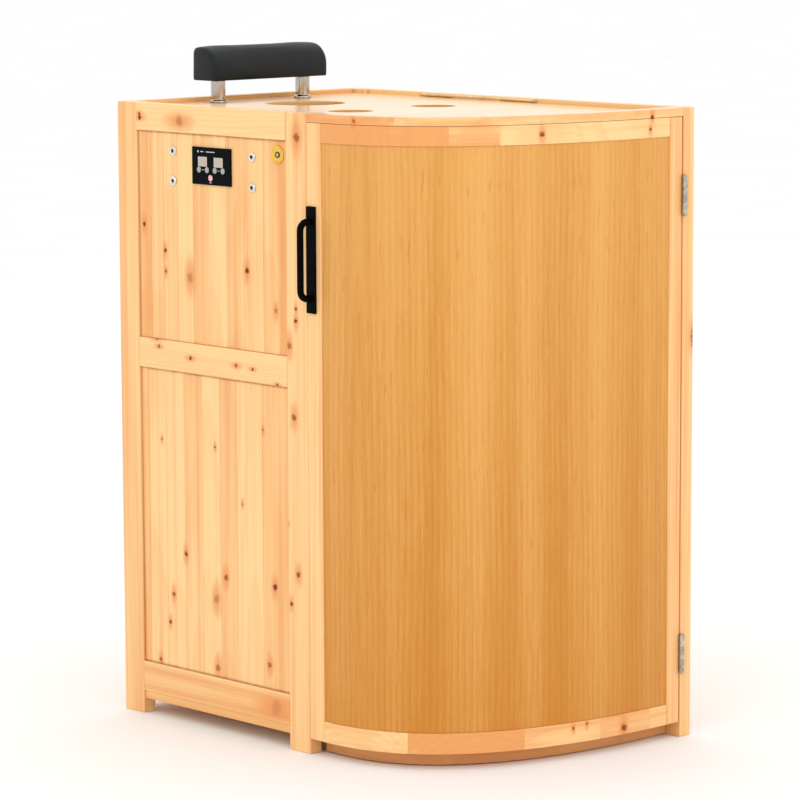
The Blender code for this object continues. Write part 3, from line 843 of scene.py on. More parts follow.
class Finishes:
    """Every finish of the sauna, each made once."""

    wall = -0.256
    frame = -0.260

    def __init__(self) -> None:
        """Makes the finishes."""
        # Each seam listed below gets a thin dark line: painted shade in the recess between parts, with some grime.
        self.boards = Pine("pine_boards", Run.BOARDS, seams=((Axis.Z, 0.0923), (Axis.Z, 1.0037))).material()
        self.wall_boards = Pine(
            "pine_wall_boards", Run.BOARDS, tone=0.36, spread=0.7, scatter=0.4,
            seams=((Axis.Z, 0.0923), (Axis.Z, 0.6017), (Axis.Z, 1.0037), (Axis.Y, 0.3624)),
            knots=Knot.rows(
                self.wall, (0.349, 0.845, 0.0046), (0.295, 0.804, 0.0044), (0.294, 0.769, 0.0036, 0.8),
                (0.231, 0.763, 0.0095, 0.40), (0.086, 0.785, 0.0060), (0.015, 0.725, 0.0050, 0.5),
                (0.250, 0.292, 0.0052), (0.147, 0.265, 0.0060, 0.8), (0.023, 0.266, 0.0060),
                (0.283, 0.218, 0.0050, 0.8), (0.172, 0.483, 0.0030, 0.8), (0.310, 0.482, 0.0026, 0.7),
                (0.103, 0.395, 0.0028, 0.8), (0.293, 0.169, 0.0042, 0.9), (0.172, 0.225, 0.0085, 0.45),
                (0.320, 0.100, 0.0042, 0.8), (0.170, 0.108, 0.0072, 0.6), (0.038, 0.133, 0.0058, 0.7),
                (0.050, 0.525, 0.0030, 0.5))).material()
        self.upright = Pine(
            "pine_upright", Run.ALONG_Z, heart=(0.31, 0.05, 0.0), tone=0.24,
            knots=Knot.rows(
                self.frame, (-0.042, 1.010, 0.0085, 0.75), (-0.038, 0.732, 0.0034), (-0.038, 0.713, 0.0048),
                (-0.021, 0.671, 0.0070, 0.6), (-0.032, 0.555, 0.0064, 0.8), (-0.040, 0.296, 0.0056, 0.9),
                (-0.022, 0.245, 0.0040), (-0.015, 0.377, 0.0026, 0.8))).material()
        self.rail_y = Pine(
            "pine_rail_y", Run.ALONG_Y, heart=(0.30, 0.4, -0.99), tone=0.04, scatter=0.3,
            knots=Knot.rows(
                self.frame, (0.355, 1.031, 0.0036), (0.354, 1.025, 0.0046), (0.250, 1.023, 0.0100, 0.45),
                (0.315, 0.656, 0.0058), (0.310, 0.641, 0.0036, 0.8), (0.228, 0.628, 0.0040),
                (0.111, 0.626, 0.0040), (0.070, 0.624, 0.0032), (0.009, 0.604, 0.0028))).material()
        self.rail_low = Pine("pine_low_rail", Run.ALONG_Y, heart=(0.30, 0.4, 0.02), tone=0.50, scatter=0.3,
                             knots=Knot.rows(self.frame, (0.017, 0.064, 0.0150, 0.25))).material()
        self.outer_upright = Pine("pine_outer_upright", Run.ALONG_Z, heart=(0.33, -0.30, 0.0), tone=0.40,
                                  scatter=0.6).material()
        self.rail_x = Pine("pine_rail_x", Run.ALONG_X, heart=(0.2, -0.35, -0.98), tone=0.42).material()
        self.bowed = Pine("pine_bowed", Run.BOARDS, ring=0.0058, scatter=0.0, rough=0.28, coat=0.3, knots=(
            Knot((-0.034, -0.3738, 1.020), 0.0052, 0.9), Knot((0.190, -0.4031, 1.038), 0.0042),
            Knot((0.186, -0.4030, 1.018), 0.0036, 0.8), Knot((0.132, -0.4008, 0.037), 0.0068, 0.9),
            Knot((0.026, -0.3880, 0.051), 0.0032, 0.8), Knot((0.053, -0.3925, 0.055), 0.0028, 0.7),
            Knot((-0.255, -0.172, 1.042), 0.0040, 0.7))).material()
        # The plinth's darker colours are painted shade: it sits in the shade under the door's foot.
        self.plinth = Pine("shaded_pine_plinth", Run.BOARDS, scatter=0.0, pale=(0.72, 0.36, 0.14),
                           deep=(0.60, 0.25, 0.08), rough=0.4, coat=0.1).material()
        self.cover = Pine("lacquered_pine", Run.BOARDS, scatter=0.4, ring=0.0065, pale=(0.93, 0.60, 0.29),
                          deep=(0.86, 0.46, 0.18), late=(0.76, 0.35, 0.11), rough=0.22, coat=0.22, shine=0.12,
                          tone=0.25).material()
        self.inner = Pine("pine_inside", Run.ALONG_Y, heart=(0.12, 0.0, -0.3), tone=0.45, coat=0.1,
                          rough=0.42).material()
        self.veneer = Veneer().material()
        self.chrome = Metal("chrome", (0.50, 0.44, 0.38), 0.10, 30.0).material()
        self.nickel = Metal("satin_nickel", (0.60, 0.54, 0.48), 0.22, 90.0, wear=0.5).material()
        self.bolt = Metal("bolt_chrome", (0.82, 0.77, 0.71), 0.16, 90.0, wear=0.2).material()
        self.steel = Metal("steel", (0.56, 0.56, 0.56), 0.30, 60.0, wear=0.25).material()
        self.brass = Metal("brass", (0.90, 0.55, 0.10), 0.24, 80.0, wear=0.25).material()
        self.lid_brass = Metal("lid_brass", (0.92, 0.64, 0.36), 0.40, 80.0, wear=0.3).material()
        self.black = Moulded("black_metal", (0.001, 0.001, 0.0012), 0.50, 2200.0, 0.00003, shine=0.03,
                             dust=0.004).material()
        self.glass = Moulded("black_glass", (0.001, 0.0015, 0.002), 0.16, 300.0, 0.000004, shine=0.05,
                             dust=0.002).material()
        self.window = Moulded("display_window", (0.50, 0.44, 0.36), 0.22, 1600.0, 0.00001, coat=0.5).material()
        self.grey = Moulded("grey_plastic", (0.36, 0.37, 0.34), 0.38).material()
        self.pink = Moulded("pink_plastic", (0.86, 0.42, 0.44), 0.34).material()
        self.dark = Moulded("dark_plastic", (0.035, 0.035, 0.038), 0.46).material()
        # Dark finish for the lining of the bolt sockets: painted shade.
        self.socket = Moulded("shaded_socket", (0.04, 0.034, 0.03), 0.5, shine=0.1, dust=0.0).material()
        self.faint = Moulded("display_bars", (0.36, 0.31, 0.25), 0.3, 1600.0, 0.00001).material()
        self.print = Moulded("panel_marks", (0.55, 0.57, 0.58), 0.5, 1600.0, 0.00001).material()
        self.leather = Leatherette().material()


# ---- plan line ----------------------------------------------------------------------------
@dataclass(frozen=True)
class BowLine:
    """The bowed plan line of the front, a full oval quarter from the left side to the door's hinge side."""

    left: float = -0.260
    front: float = -0.4033
    corner_x: float = 0.232
    corner_y: float = -0.0996
    fullness: float = 2.45
    steps: int = 96

    def point(self, turn: float, inset: float = 0.0) -> Flat:
        """A point where the line faces a given way.

        Args:
            turn: The way that it faces, from 0 at the left side to a quarter turn at the front.
            inset: Distance inwards from the line.

        Returns:
            The point.
        """
        half_x, half_y = self.corner_x - self.left, self.corner_y - self.front
        dual = self.fullness / (self.fullness - 1)
        across, along = max(math.cos(turn), 0.0), math.sin(turn)
        scale = ((half_x * across) ** dual + (half_y * along) ** dual) ** (-1 / dual)
        x = self.corner_x - half_x * (half_x * scale * across) ** (dual - 1) + inset * across
        y = self.corner_y - half_y * (half_y * scale * along) ** (dual - 1) + inset * along
        return x, y

    def line(self, inset: float, start: Optional[float] = None, end: Optional[float] = None) -> list[Flat]:
        """The whole line at an inset, with straight runs before and after it where they are given.

        Args:
            inset: Distance inwards.
            start: Where along Y a straight run starts on the left side.
            end: Where along X a straight run ends at the front.

        Returns:
            Points from the left side to the front.
        """
        points = [self.point(math.pi / 2 * step / self.steps, inset) for step in range(self.steps + 1)]
        before = [] if start is None else [(self.left + inset, start)]
        after = [] if end is None else [(end, self.front + inset)]
        return [*before, *points, *after]

    def staves(self, cuts: Sequence[float], tones: Sequence[float], seed: float) -> Callable[[Vector], Board]:
        """Straight staves that follow the line, each sawn from its own board.

        Args:
            cuts: X of each butt joint, from left to right.
            tones: Tone of each stave, one more than the joints.
            seed: Start of the boards' numbers.

        Returns:
            Gives the board at a place.
        """
        ends = [self.left - 0.02, *cuts, self.corner_x + 0.06]

        def board_at(place: Vector) -> Board:
            """The stave that holds a place."""
            number = sum(place.x > cut for cut in cuts)
            low, high = ends[number], ends[number + 1]
            middle = min(max((low + high) / 2, self.left), self.corner_x)
            turn = min((math.pi / 2 * step / 90 for step in range(91)),
                       key=lambda way: abs(self.point(way)[0] - middle))
            if number == 0:
                turn *= 0.5
            x, y = self.point(turn)
            along = (math.sin(turn), -math.cos(turn), 0.0)
            return Board((x, y, 1.0), along, (0.0, 0.0, 1.0), tones[number], seed + number,
                         (0.012 * ((number * 7) % 5 - 2), 0.030 + 0.013 * ((number * 3) % 4)))

        return board_at


# ---- walls --------------------------------------------------------------------------------
@dataclass
class Wall:
    """A panel of upright boards between two posts."""

    finishes: Finishes
    node: str
    across: Axis
    joints: tuple[float, ...]
    tones: tuple[float, ...]
    groove: float = 0.0007
    joint: float = 0.00008
    windows: tuple[tuple[Point, Point], ...] = ()

    def build(self) -> bpy.types.Object:
        """Makes the boards of the panel and joins them into one piece.

        Returns:
            The finished panel.
        """
        low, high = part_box(self.node)
        side = self.across.value
        ends = [low[side], *self.joints, high[side]]
        boards = []
        for number, (start, stop) in enumerate(zip(ends, ends[1:])):
            first, last = Vector(low), Vector(high)
            first[side], last[side] = start + self.joint, stop - self.joint
            boards.append(Bench.block(f"board_{number}", first, last, self.groove, 2))
        for board in boards:
            Bench.drill(board, [Bench.block("window", *window, edge=0) for window in self.windows])
        panel = Bench.gather(self.node.replace("panel", "boards"), boards)
        across = tuple(self.across.unit())

        def board_at(place: Vector) -> Board:
            """The board that holds a place."""
            number = min(sum(place[side] > joint for joint in self.joints), len(self.tones) - 1)
            middle = (ends[number] + ends[number + 1]) / 2
            origin = (middle, low.y, 0.5) if side == 0 else (low.x, middle, 0.5)
            return Board(origin, (0.0, 0.0, 1.0), across, self.tones[number], number + 11.0 * low.z + 5.0 * low.x,
                         (0.006 * ((number * 5) % 7 - 3), 0.028 + 0.012 * ((number * 3) % 5)))

        lay_grain(panel, board_at)
        finish = self.finishes.wall_boards if self.node.startswith("left") else self.finishes.boards
        return Bench.fit(panel, "cabinet", "pine", finish, self.node)


@dataclass
class Walls:
    """The panels on the left, back and right."""

    finishes: Finishes
    upper_joints: tuple[float, ...] = (0.045, 0.085, 0.138, 0.182, 0.222, 0.262, 0.297, 0.331)
    lower_joints: tuple[float, ...] = (0.052, 0.116, 0.160, 0.206, 0.252, 0.298, 0.344)
    upper_tones: tuple[float, ...] = (0.60, 0.20, 0.55, 0.10, 0.35, 0.00, 0.30, 0.45, 0.80)
    lower_tones: tuple[float, ...] = (0.50, 0.15, 0.55, 0.10, 0.45, 0.05, 0.30, 0.95)
    hidden_tones: tuple[float, ...] = (0.4, 0.6, 0.25, 0.5, 0.7, 0.3, 0.55, 0.4, 0.65, 0.35)
    back_joints: tuple[float, ...] = tuple(-0.2337 + 0.0623 * step for step in range(1, 8))
    right_joints: tuple[float, ...] = tuple(-0.353 + 0.0715 * step for step in range(1, 10))
    window: tuple[Point, Point] = ((-0.30, 0.1262, 0.926), (-0.20, 0.2142, 0.978))

    def build(self) -> list[bpy.types.Object]:
        """Makes the four panels.

        Returns:
            The panels.
        """
        return [
            Wall(self.finishes, "left_upper_panel", Axis.Y, self.upper_joints, self.upper_tones,
                 windows=(self.window,)).build(),
            Wall(self.finishes, "left_lower_panel", Axis.Y, self.lower_joints, self.lower_tones).build(),
            Wall(self.finishes, "back_panel", Axis.X, self.back_joints, self.hidden_tones[:8]).build(),
            Wall(self.finishes, "right_panel", Axis.Y, self.right_joints, self.hidden_tones).build(),
        ]


@dataclass
class Skeleton:
    """The posts and rails, which keep their own shape and take a timber finish."""

    finishes: Finishes
    uprights: tuple[str, ...] = ("post_front_left", "door_left_stile")
    outer_uprights: tuple[str, ...] = ("post_back_left", "post_back_right", "post_front_right", "door_right_stile")
    rails_y: tuple[str, ...] = ("left_top_rail", "left_mid_rail", "right_top_rail")
    low_rails: tuple[str, ...] = ("left_bottom_rail", "right_bottom_rail")
    rails_x: tuple[str, ...] = ("back_top_rail", "back_bottom_rail")
    inner: tuple[str, ...] = ("floor_board", "seat_board", "seat_frame")

    def dress(self) -> None:
        """Gives each post and rail its finish."""
        for names, finish in ((self.uprights, self.finishes.upright), (self.rails_y, self.finishes.rail_y),
                              (self.outer_uprights, self.finishes.outer_upright),
                              (self.low_rails, self.finishes.rail_low),
                              (self.rails_x, self.finishes.rail_x), (self.inner, self.finishes.inner)):
            for name in names:
                dress(name, finish)


def dress(name: str, finish: bpy.types.Material) -> None:
    """Gives a carried-over node a finish of its own."""
    node = frame["nodes"][name]
    for slot in node.material_slots:
        slot.material = finish
    LOG.info("%s: dressed in %s", name, finish.name)


# ---- top ----------------------------------------------------------------------------------
@dataclass
class Top:
    """The bowed front rail, the fixed rear cover and the lid, with the neck and hand holes."""

    finishes: Finishes
    bow: BowLine
    rail: tuple[float, float] = (1.036, 1.050)
    rail_width: float = 0.026
    rail_start: float = -0.0656
    rail_end: float = 0.2647
    neck: Flat = (0.005, 0.2317)
    neck_radius: float = 0.068
    hand_y: float = 0.0147
    hand_spread: float = 0.0945
    hand_radius: float = 0.038
    edge: float = 0.0022
    board_width: float = 0.118
    post_x: Flat = (-0.2337, 0.2647)
    post_y: tuple[float, float, float] = (-0.3530, -0.0150, 0.3624)
    rail_back: float = -0.3770

    def build(self) -> list[bpy.types.Object]:
        """Makes the rail, cover and lid.

        Returns:
            The three pieces.
        """
        return [self.front_rail(), self.rear_cover(), self.front_lid()]

    def front_rail(self) -> bpy.types.Object:
        """The bowed rail over the door, glued up from staves."""
        span = (self.rail_start, self.rail_end)
        piece = Bench.strip("bowed_top_rail", self.bow.line(self.rail_width, *span), self.bow.line(0.0, *span),
                            *self.rail, edge=0.0007)
        lay_grain(piece, self.bow.staves((-0.228, -0.112, 0.020, 0.150), (0.85, 0.35, 0.45, 0.40, 0.30), 3.0))
        return Bench.fit(piece, "cabinet", "pine", self.finishes.bowed, "front_top_rail")

    def arc(self, y: float, start: float, end: float) -> list[Flat]:
        """Half the neck hole's edge."""
        turns = [start + (end - start) * step / 64 for step in range(65)]
        return [(self.neck[0] + self.neck_radius * math.cos(turn), y + self.neck_radius * math.sin(turn))
                for turn in turns]

    def boards(self, piece: bpy.types.Object, seed: float) -> None:
        """Lays the cover's wide boards across it."""
        low, high = (corner.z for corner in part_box("rear_cover"))

        def board_at(place: Vector) -> Board:
            """The board that holds a place; the sawn edges are darker."""
            number = math.floor((place.y + 0.5) / self.board_width)
            sawn = low + 0.003 < place.z < high - 0.003
            return Board((0.0, number * self.board_width - 0.44, 1.04), (1.0, 0.0, 0.0), (0.0, 1.0, 0.0),
                         1.4 if sawn else 0.25 + 0.2 * (number % 2), seed + number, (0.01 * (number % 3), 0.035))

        lay_grain(piece, board_at)

    def rear_cover(self) -> bpy.types.Object:
        """The fixed half of the top, behind the neck hole's middle."""
        low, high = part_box("rear_cover")
        (notch_left, notch_right), notch = self.post_x, self.post_y[2]
        y = self.neck[1] + GAP
        outline = [(notch_left, high.y), (notch_left, notch), (low.x, notch), (low.x, y), *self.arc(y, math.pi, 0.0),
                   (high.x, y), (high.x, notch), (notch_right, notch), (notch_right, high.y)]
        piece = Bench.slab("rear_cover_board", outline, low.z, high.z, self.edge)
        self.boards(piece, 31.0)
        return Bench.fit(piece, "cabinet", "lacquered_pine", self.finishes.cover, "rear_cover")

    def front_lid(self) -> bpy.types.Object:
        """The half that lifts, in front of the neck hole's middle, with two hand holes."""
        low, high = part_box("front_lid")
        inset, y = self.rail_width + GAP, self.neck[1] - GAP
        (left, right), (front, notch, _) = self.post_x, self.post_y
        outline = [(low.x, y), (low.x, notch), (left, notch), *self.bow.line(inset), (right, self.rail_back),
                   (right, front), (high.x, front), (high.x, y), *self.arc(y, 0.0, -math.pi)]
        piece = Bench.slab("front_lid_board", outline, low.z, high.z)
        holes = [Bench.turned("hole", [(0, 0), (self.hand_radius, 0), (self.hand_radius, 0.1), (0, 0.1)],
                              (self.neck[0] + side * self.hand_spread, self.hand_y, 1.0), steps=72)
                 for side in (-1, 1)]
        Bench.drill(piece, holes)
        Bench.ease(piece, self.edge)
        self.boards(piece, 21.0)
        return Bench.fit(piece, "lid", "lacquered_pine", self.finishes.cover, "front_lid")


# ---- door ---------------------------------------------------------------------------------
@dataclass
class Door:
    """The bowed door: two rails of glued staves and a veneered skin, with a plinth behind its foot."""

    finishes: Finishes
    bow: BowLine
    depth: float = 0.026
    skin: Flat = (0.0022, 0.010)
    plinth: Flat = (0.030, 0.044)

    def build(self) -> list[bpy.types.Object]:
        """Makes the bowed parts of the door, and the plinth.

        Returns:
            The pieces.
        """
        pieces = []
        for node, name, cuts, tones, seed in (
                ("door_top_rail", "door_top_staves", (-0.237, -0.171, -0.103, 0.030),
                 (1.25, 1.05, 0.80, 0.25, 0.15), 40.0),
                ("door_bottom_rail", "door_bottom_staves", (-0.218, -0.0645, 0.080, 0.190),
                 (0.15, 1.10, 0.35, 0.70, 0.45), 50.0)):
            low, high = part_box(node)
            piece = Bench.strip(name, self.bow.line(self.depth), self.bow.line(0.0), low.z, high.z, 0.0007)
            lay_grain(piece, self.bow.staves(cuts, tones, seed))
            pieces.append(Bench.fit(piece, "door", "pine", self.finishes.bowed, node))
        pieces.append(self.veneered_skin())
        low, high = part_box("plinth")
        span = (high.y, high.x)
        piece = Bench.strip("bowed_plinth", self.bow.line(self.plinth[1], *span), self.bow.line(self.plinth[0], *span),
                            low.z, high.z, 0.001)
        lay_grain(piece, self.bow.staves((-0.15, 0.02, 0.15), (0.5, 0.7, 0.4, 0.6), 60.0))
        pieces.append(Bench.fit(piece, "cabinet", "pine", self.finishes.plinth, "plinth"))
        return pieces

    def veneered_skin(self) -> bpy.types.Object:
        """The bent veneered panel, whose grain runs upright all round the bow."""
        low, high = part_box("door_skin")
        piece = Bench.strip("door_veneer", self.bow.line(self.skin[1]), self.bow.line(self.skin[0]), low.z, high.z)
        line = self.bow.line(self.skin[0])
        lengths = [0.0]
        for before, after in zip(line, line[1:]):
            lengths.append(lengths[-1] + math.dist(before, after))
        grain = piece.data.attributes.new("grain", "FLOAT_VECTOR", "POINT")
        for corner, value in zip(piece.data.vertices, grain.data):
            nearest = min(range(len(line)), key=lambda step: math.dist(line[step], corner.co[:2]))
            value.vector = (corner.co.z - 0.55, lengths[nearest] - 0.075, 0.0)
        return Bench.fit(piece, "door", "veneer", self.finishes.veneer, "door_skin")


@dataclass
class Hinges:
    """The butt hinges of the door and the long hinge of the lid."""

    finishes: Finishes
    leaves: tuple[str, ...] = ("lower_hinge_door_leaf", "lower_hinge_frame_leaf", "upper_hinge_door_leaf",
                               "upper_hinge_frame_leaf", "lid_hinge_base", "lid_hinge_leaf")
    radius: float = 0.0024

    def build(self) -> list[bpy.types.Object]:
        """Dresses the leaves and makes the pins with their domed ends.

        Returns:
            The pins.
        """
        for name in self.leaves:
            dress(name, self.finishes.lid_brass if name.startswith("lid") else self.finishes.nickel)
        pins = []
        for node in ("lower_hinge_pin", "upper_hinge_pin"):
            low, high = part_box(node)
            tall, wide = high.z - low.z, (high.x - low.x) / 2
            profile = [(0, 0), (wide * 0.6, 0.0002), (wide * 0.92, 0.0010), (wide, 0.0020), (self.radius, 0.0022),
                       (self.radius, tall - 0.0022), (wide, tall - 0.0020), (wide * 0.92, tall - 0.0010),
                       (wide * 0.6, tall - 0.0002), (0, tall)]
            piece = Bench.turned(node.replace("pin", "domed_pin"), profile,
                                 ((low.x + high.x) / 2, (low.y + high.y) / 2, low.z), steps=32)
            pins.append(Bench.fit(piece, "cabinet", "chrome", self.finishes.nickel, node))
        return pins


@dataclass
class Handle:
    """The black pull: a flat back plate with two screws and a round bail."""

    finishes: Finishes
    bar: float = 0.0055
    bend: float = 0.014
    screw: float = 0.0034

    def build(self) -> list[bpy.types.Object]:
        """Makes the plate, the bail and the screws.

        Returns:
            The pieces.
        """
        low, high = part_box("handle_plate")
        plate = Bench.block("handle_back_plate", low, high, 0.0013, 3)
        pieces = [Bench.fit(plate, "door", "black_metal", self.finishes.black, "handle_plate"), self.bail()]
        middle = (low.y + high.y) / 2
        profile = [(0.0009, 0.0007), (0.0009, 0.0001), (self.screw * 0.7, 0.0), (self.screw, 0.0007),
                   (self.screw, 0.0012)]
        first = Bench.turned("handle_screw_1", profile, (low.x - 0.0007, middle, low.z + 0.010), Axis.X, 32)
        second = Bench.copy(first, "handle_screw_2", (0, 0, high.z - low.z - 0.020))
        for screw in (first, second):
            pieces.append(Bench.fit(screw, "door", "black_metal", self.finishes.black))
        return pieces

    def bail(self) -> bpy.types.Object:
        """The round bar, bent at both ends back to its plate."""
        low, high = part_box("handle_grip")
        reach, root = low.x + self.bar, high.x
        bottom, top, middle = low.z + self.bar, high.z - self.bar, (low.y + high.y) / 2
        route = [(root, bottom)]
        for centre_z, start in ((bottom + self.bend, 1.5), (top - self.bend, 1.0)):
            for step in range(9):
                turn = math.pi * (start - step / 16)
                route.append((reach + self.bend + self.bend * math.cos(turn), centre_z + self.bend * math.sin(turn)))
        route.append((root, top))
        Bench.clear()
        bpy.ops.mesh.primitive_circle_add(vertices=32, radius=self.bar, fill_type="NGON",
                                          rotation=(0, math.pi / 2, 0), location=(root, middle, bottom))
        piece = Bench.settle(bpy.context.object)
        piece.name = "handle_bail"
        Bench.edit(piece)
        for number, (before, after) in enumerate(zip(route, route[1:])):
            bpy.ops.mesh.extrude_region_move(TRANSFORM_OT_translate={
                "value": (after[0] - before[0], 0, after[1] - before[1])})
            inward = self.heading(route, number + 1) - self.heading(route, number)
            if abs(inward) > 1e-6:
                bpy.ops.transform.rotate(value=inward, orient_axis="Y", orient_type="GLOBAL",
                                         center_override=(after[0], middle, after[1]))
        bpy.ops.object.mode_set(mode="OBJECT")
        Bench.smooth(Bench.tidy(piece))
        return Bench.fit(piece, "door", "black_metal", self.finishes.black, "handle_grip")

    @staticmethod
    def heading(route: Sequence[Flat], number: int) -> float:
        """The way that the bar runs at one point of its route, in radians."""
        before, after = route[max(number - 1, 0)], route[min(number + 1, len(route) - 1)]
        if number == 0:
            return math.pi
        return math.atan2(after[1] - before[1], after[0] - before[0]) % (2 * math.pi)


# ---- control panel ------------------------------------------------------------------------
@dataclass
class Controls:
    """The gloss fascia with its displays, buttons and marks, its bolts, and the badge beside it."""

    finishes: Finishes
    windows: tuple[Flat, ...] = ((0.1922, 0.959), (0.1522, 0.959))
    window: Flat = (0.0113, 0.0080)
    buttons: tuple[str, ...] = ("button_1", "button_2", "button_3", "button_4", "power_button")
    button_radius: float = 0.0050
    power_radius: float = 0.0052
    bolt_radius: float = 0.0080
    shank_radius: float = 0.0030
    socket_radius: float = 0.0035

    def build(self) -> list[bpy.types.Object]:
        """Makes every part of the control panel.

        Returns:
            The pieces.
        """
        dress("control_housing", self.finishes.dark)
        return [*self.fascia(), *self.push_buttons(), *self.bolts(), self.badge()]

    def fascia(self) -> list[bpy.types.Object]:
        """The fascia plate, with its two displays and their sleeping digits."""
        low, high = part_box("control_fascia")
        plate = Bench.block("fascia_plate", low, high, 0.0005, 2)
        cutters = []
        for name in self.buttons:
            radius = self.radius(name) + GAP
            profile = [(0, 0), (radius, 0), (radius, 0.02), (0, 0.02)]
            _, y, z = outer_middle(name)
            cutters.append(Bench.turned("hole", profile, (low.x - 0.01, y, z), Axis.X, 48))
        Bench.drill(plate, cutters)
        Bench.smooth(plate)
        pieces = [Bench.fit(plate, "cabinet", "black_glass", self.finishes.glass, "control_fascia")]
        for number, (y, z) in enumerate(self.windows, 1):
            wide, tall = self.window
            pane = Bench.block(f"display_{number}", (low.x - 0.00025, y - wide, z - tall),
                               (low.x + 0.0010, y + wide, z + tall), 0.0002, 1)
            pieces.append(Bench.fit(pane, "cabinet", "grey_plastic", self.finishes.window))
            pieces.append(self.digits(f"display_{number}_digits", low.x - 0.00025, y, z))
        pieces.append(self.marks(low.x))
        return pieces

    def digits(self, name: str, face: float, y: float, z: float) -> bpy.types.Object:
        """Two unlit seven-bar digits on a display."""
        bars = []
        for side in (-1, 1):
            centre = y + side * 0.0048
            for tall, wide, up, out in (*((0.0003, 0.0021, up, 0) for up in (0.0050, 0, -0.0050)),
                                        *((0.0020, 0.0003, up, out) for up in (0.0025, -0.0025)
                                          for out in (0.0027, -0.0027))):
                bars.append(Bench.block("bar", (face - 0.0001, centre + out - wide, z + up - tall),
                                        (face + 0.0001, centre + out + wide, z + up + tall), 0.00005, 1))
        return Bench.fit(Bench.gather(name, bars), "cabinet", "grey_plastic", self.finishes.faint)

    def marks(self, face: float) -> bpy.types.Object:
        """Plain printed marks: a dot and two bars over the displays, and a short bar by each set of buttons."""
        marks = []
        for y, z, wide, tall in ((0.2035, 0.9755, 0.0016, 0.0016), (0.1935, 0.9755, 0.0040, 0.0007),
                                 (0.1720, 0.9755, 0.0110, 0.0007), (0.1912, 0.9455, 0.0022, 0.0005),
                                 (0.1512, 0.9455, 0.0022, 0.0005), (0.1722, 0.9250, 0.0026, 0.0006)):
            marks.append(Bench.block("mark", (face - 0.0001, y - wide, z - tall), (face + 0.0002, y + wide, z + tall),
                                     0.00005, 1))
        return Bench.fit(Bench.gather("fascia_marks", marks), "cabinet", "grey_plastic", self.finishes.print)

    def radius(self, button: str) -> float:
        """A button's radius: the power button is the larger."""
        return self.power_radius if button == self.buttons[-1] else self.button_radius

    def push_buttons(self) -> list[bpy.types.Object]:
        """The five domed push buttons."""
        pieces = []
        for name in self.buttons:
            low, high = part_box(name)
            radius, tall = self.radius(name), high.x - low.x
            profile = [(0, 0.00025), (radius * 0.35, 0.0002), (radius * 0.62, 0.0000), (radius * 0.86, 0.0001),
                       (radius, 0.0006), (radius, 0.0038), (radius + 0.0012, 0.0038), (radius + 0.0012, 0.0050),
                       (0.002, 0.0050), (0.002, tall), (0, tall)]
            piece = Bench.turned(name + "_cap", profile, outer_middle(name), Axis.X, 48)
            pink = name == self.buttons[-1]
            slot, finish = ("pink_plastic", self.finishes.pink) if pink else ("grey_plastic", self.finishes.grey)
            pieces.append(Bench.fit(piece, name, slot, finish, name))
        return pieces

    def bolts(self) -> list[bpy.types.Object]:
        """The four round-headed bolts with hex sockets, each socket lined with a dark disc of painted shade."""
        low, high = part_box("panel_bolt_1")
        face, y, z = outer_middle("panel_bolt_1")
        length, socket = high.x - low.x, self.socket_radius
        profile = [(0, 0.0), (0.0058, 0.0), (0.0068, 0.00025), (0.0076, 0.0008), (self.bolt_radius, 0.0014),
                   (self.bolt_radius, 0.0023), (self.shank_radius, 0.0023), (self.shank_radius, length), (0, length)]
        first = Bench.turned("bolt_head_1", profile, (face, y, z), Axis.X, 48)
        Bench.drill(first, [Bench.turned("socket", [(0, 0), (socket, 0), (socket, 0.0022), (0, 0.0022)],
                                         (face - 0.0004, y, z), Axis.X, 6)])
        Bench.smooth(first)
        # The dark lining in each socket is painted shade: a dark disc put where the socket's own shade falls.
        dish = [(0, 0.0017), (0.0026, 0.0016), (0.0030, 0.0002), (socket, 0.0002), (socket, 0.0021), (0, 0.0021)]
        socket_shade_lining = Bench.turned("painted_socket_shade_1", dish, (face, y, z), Axis.X, 6)
        pieces = []
        for number in (1, 2, 3, 4):
            near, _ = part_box(f"panel_bolt_{number}")
            shift = (0, near.y - low.y, near.z - low.z)
            head = first if number == 1 else Bench.copy(first, f"bolt_head_{number}", shift)
            socket_shade_copy = socket_shade_lining if number == 1 else Bench.copy(socket_shade_lining, f"painted_socket_shade_{number}", shift)
            pieces.append(Bench.fit(head, "cabinet", "chrome", self.finishes.bolt, f"panel_bolt_{number}"))
            # The lining takes the painted shade finish; it is not a dark plastic part.
            Bench.fit(socket_shade_copy, "cabinet", "dark_plastic", self.finishes.socket)
        return pieces

    def badge(self) -> bpy.types.Object:
        """The round brass badge with a raised rim and a plain sunk ring."""
        place = outer_middle("wall_badge")
        profile = [(0, 0.0004), (0.0040, 0.0004), (0.0052, 0.0009), (0.0068, 0.0009), (0.0080, 0.0003),
                   (0.0120, 0.0002), (0.0136, 0.0), (0.0148, 0.0003), (0.0152, 0.0009), (0.0152, 0.0018), (0, 0.0018)]
        piece = Bench.turned("round_badge", profile, place, Axis.X, 64)
        Bench.fit(piece, "cabinet", "brass", self.finishes.brass, "wall_badge")
        ring = Bench.turned("badge_ring", [(0.0028, 0.0012), (0.0028, 0.0003), (0.0034, 0.0001), (0.0048, 0.0001),
                                           (0.0054, 0.0003), (0.0054, 0.0012)], place, Axis.X, 48)
        Bench.fit(ring, "cabinet", "dark_plastic", self.finishes.dark)
        return piece


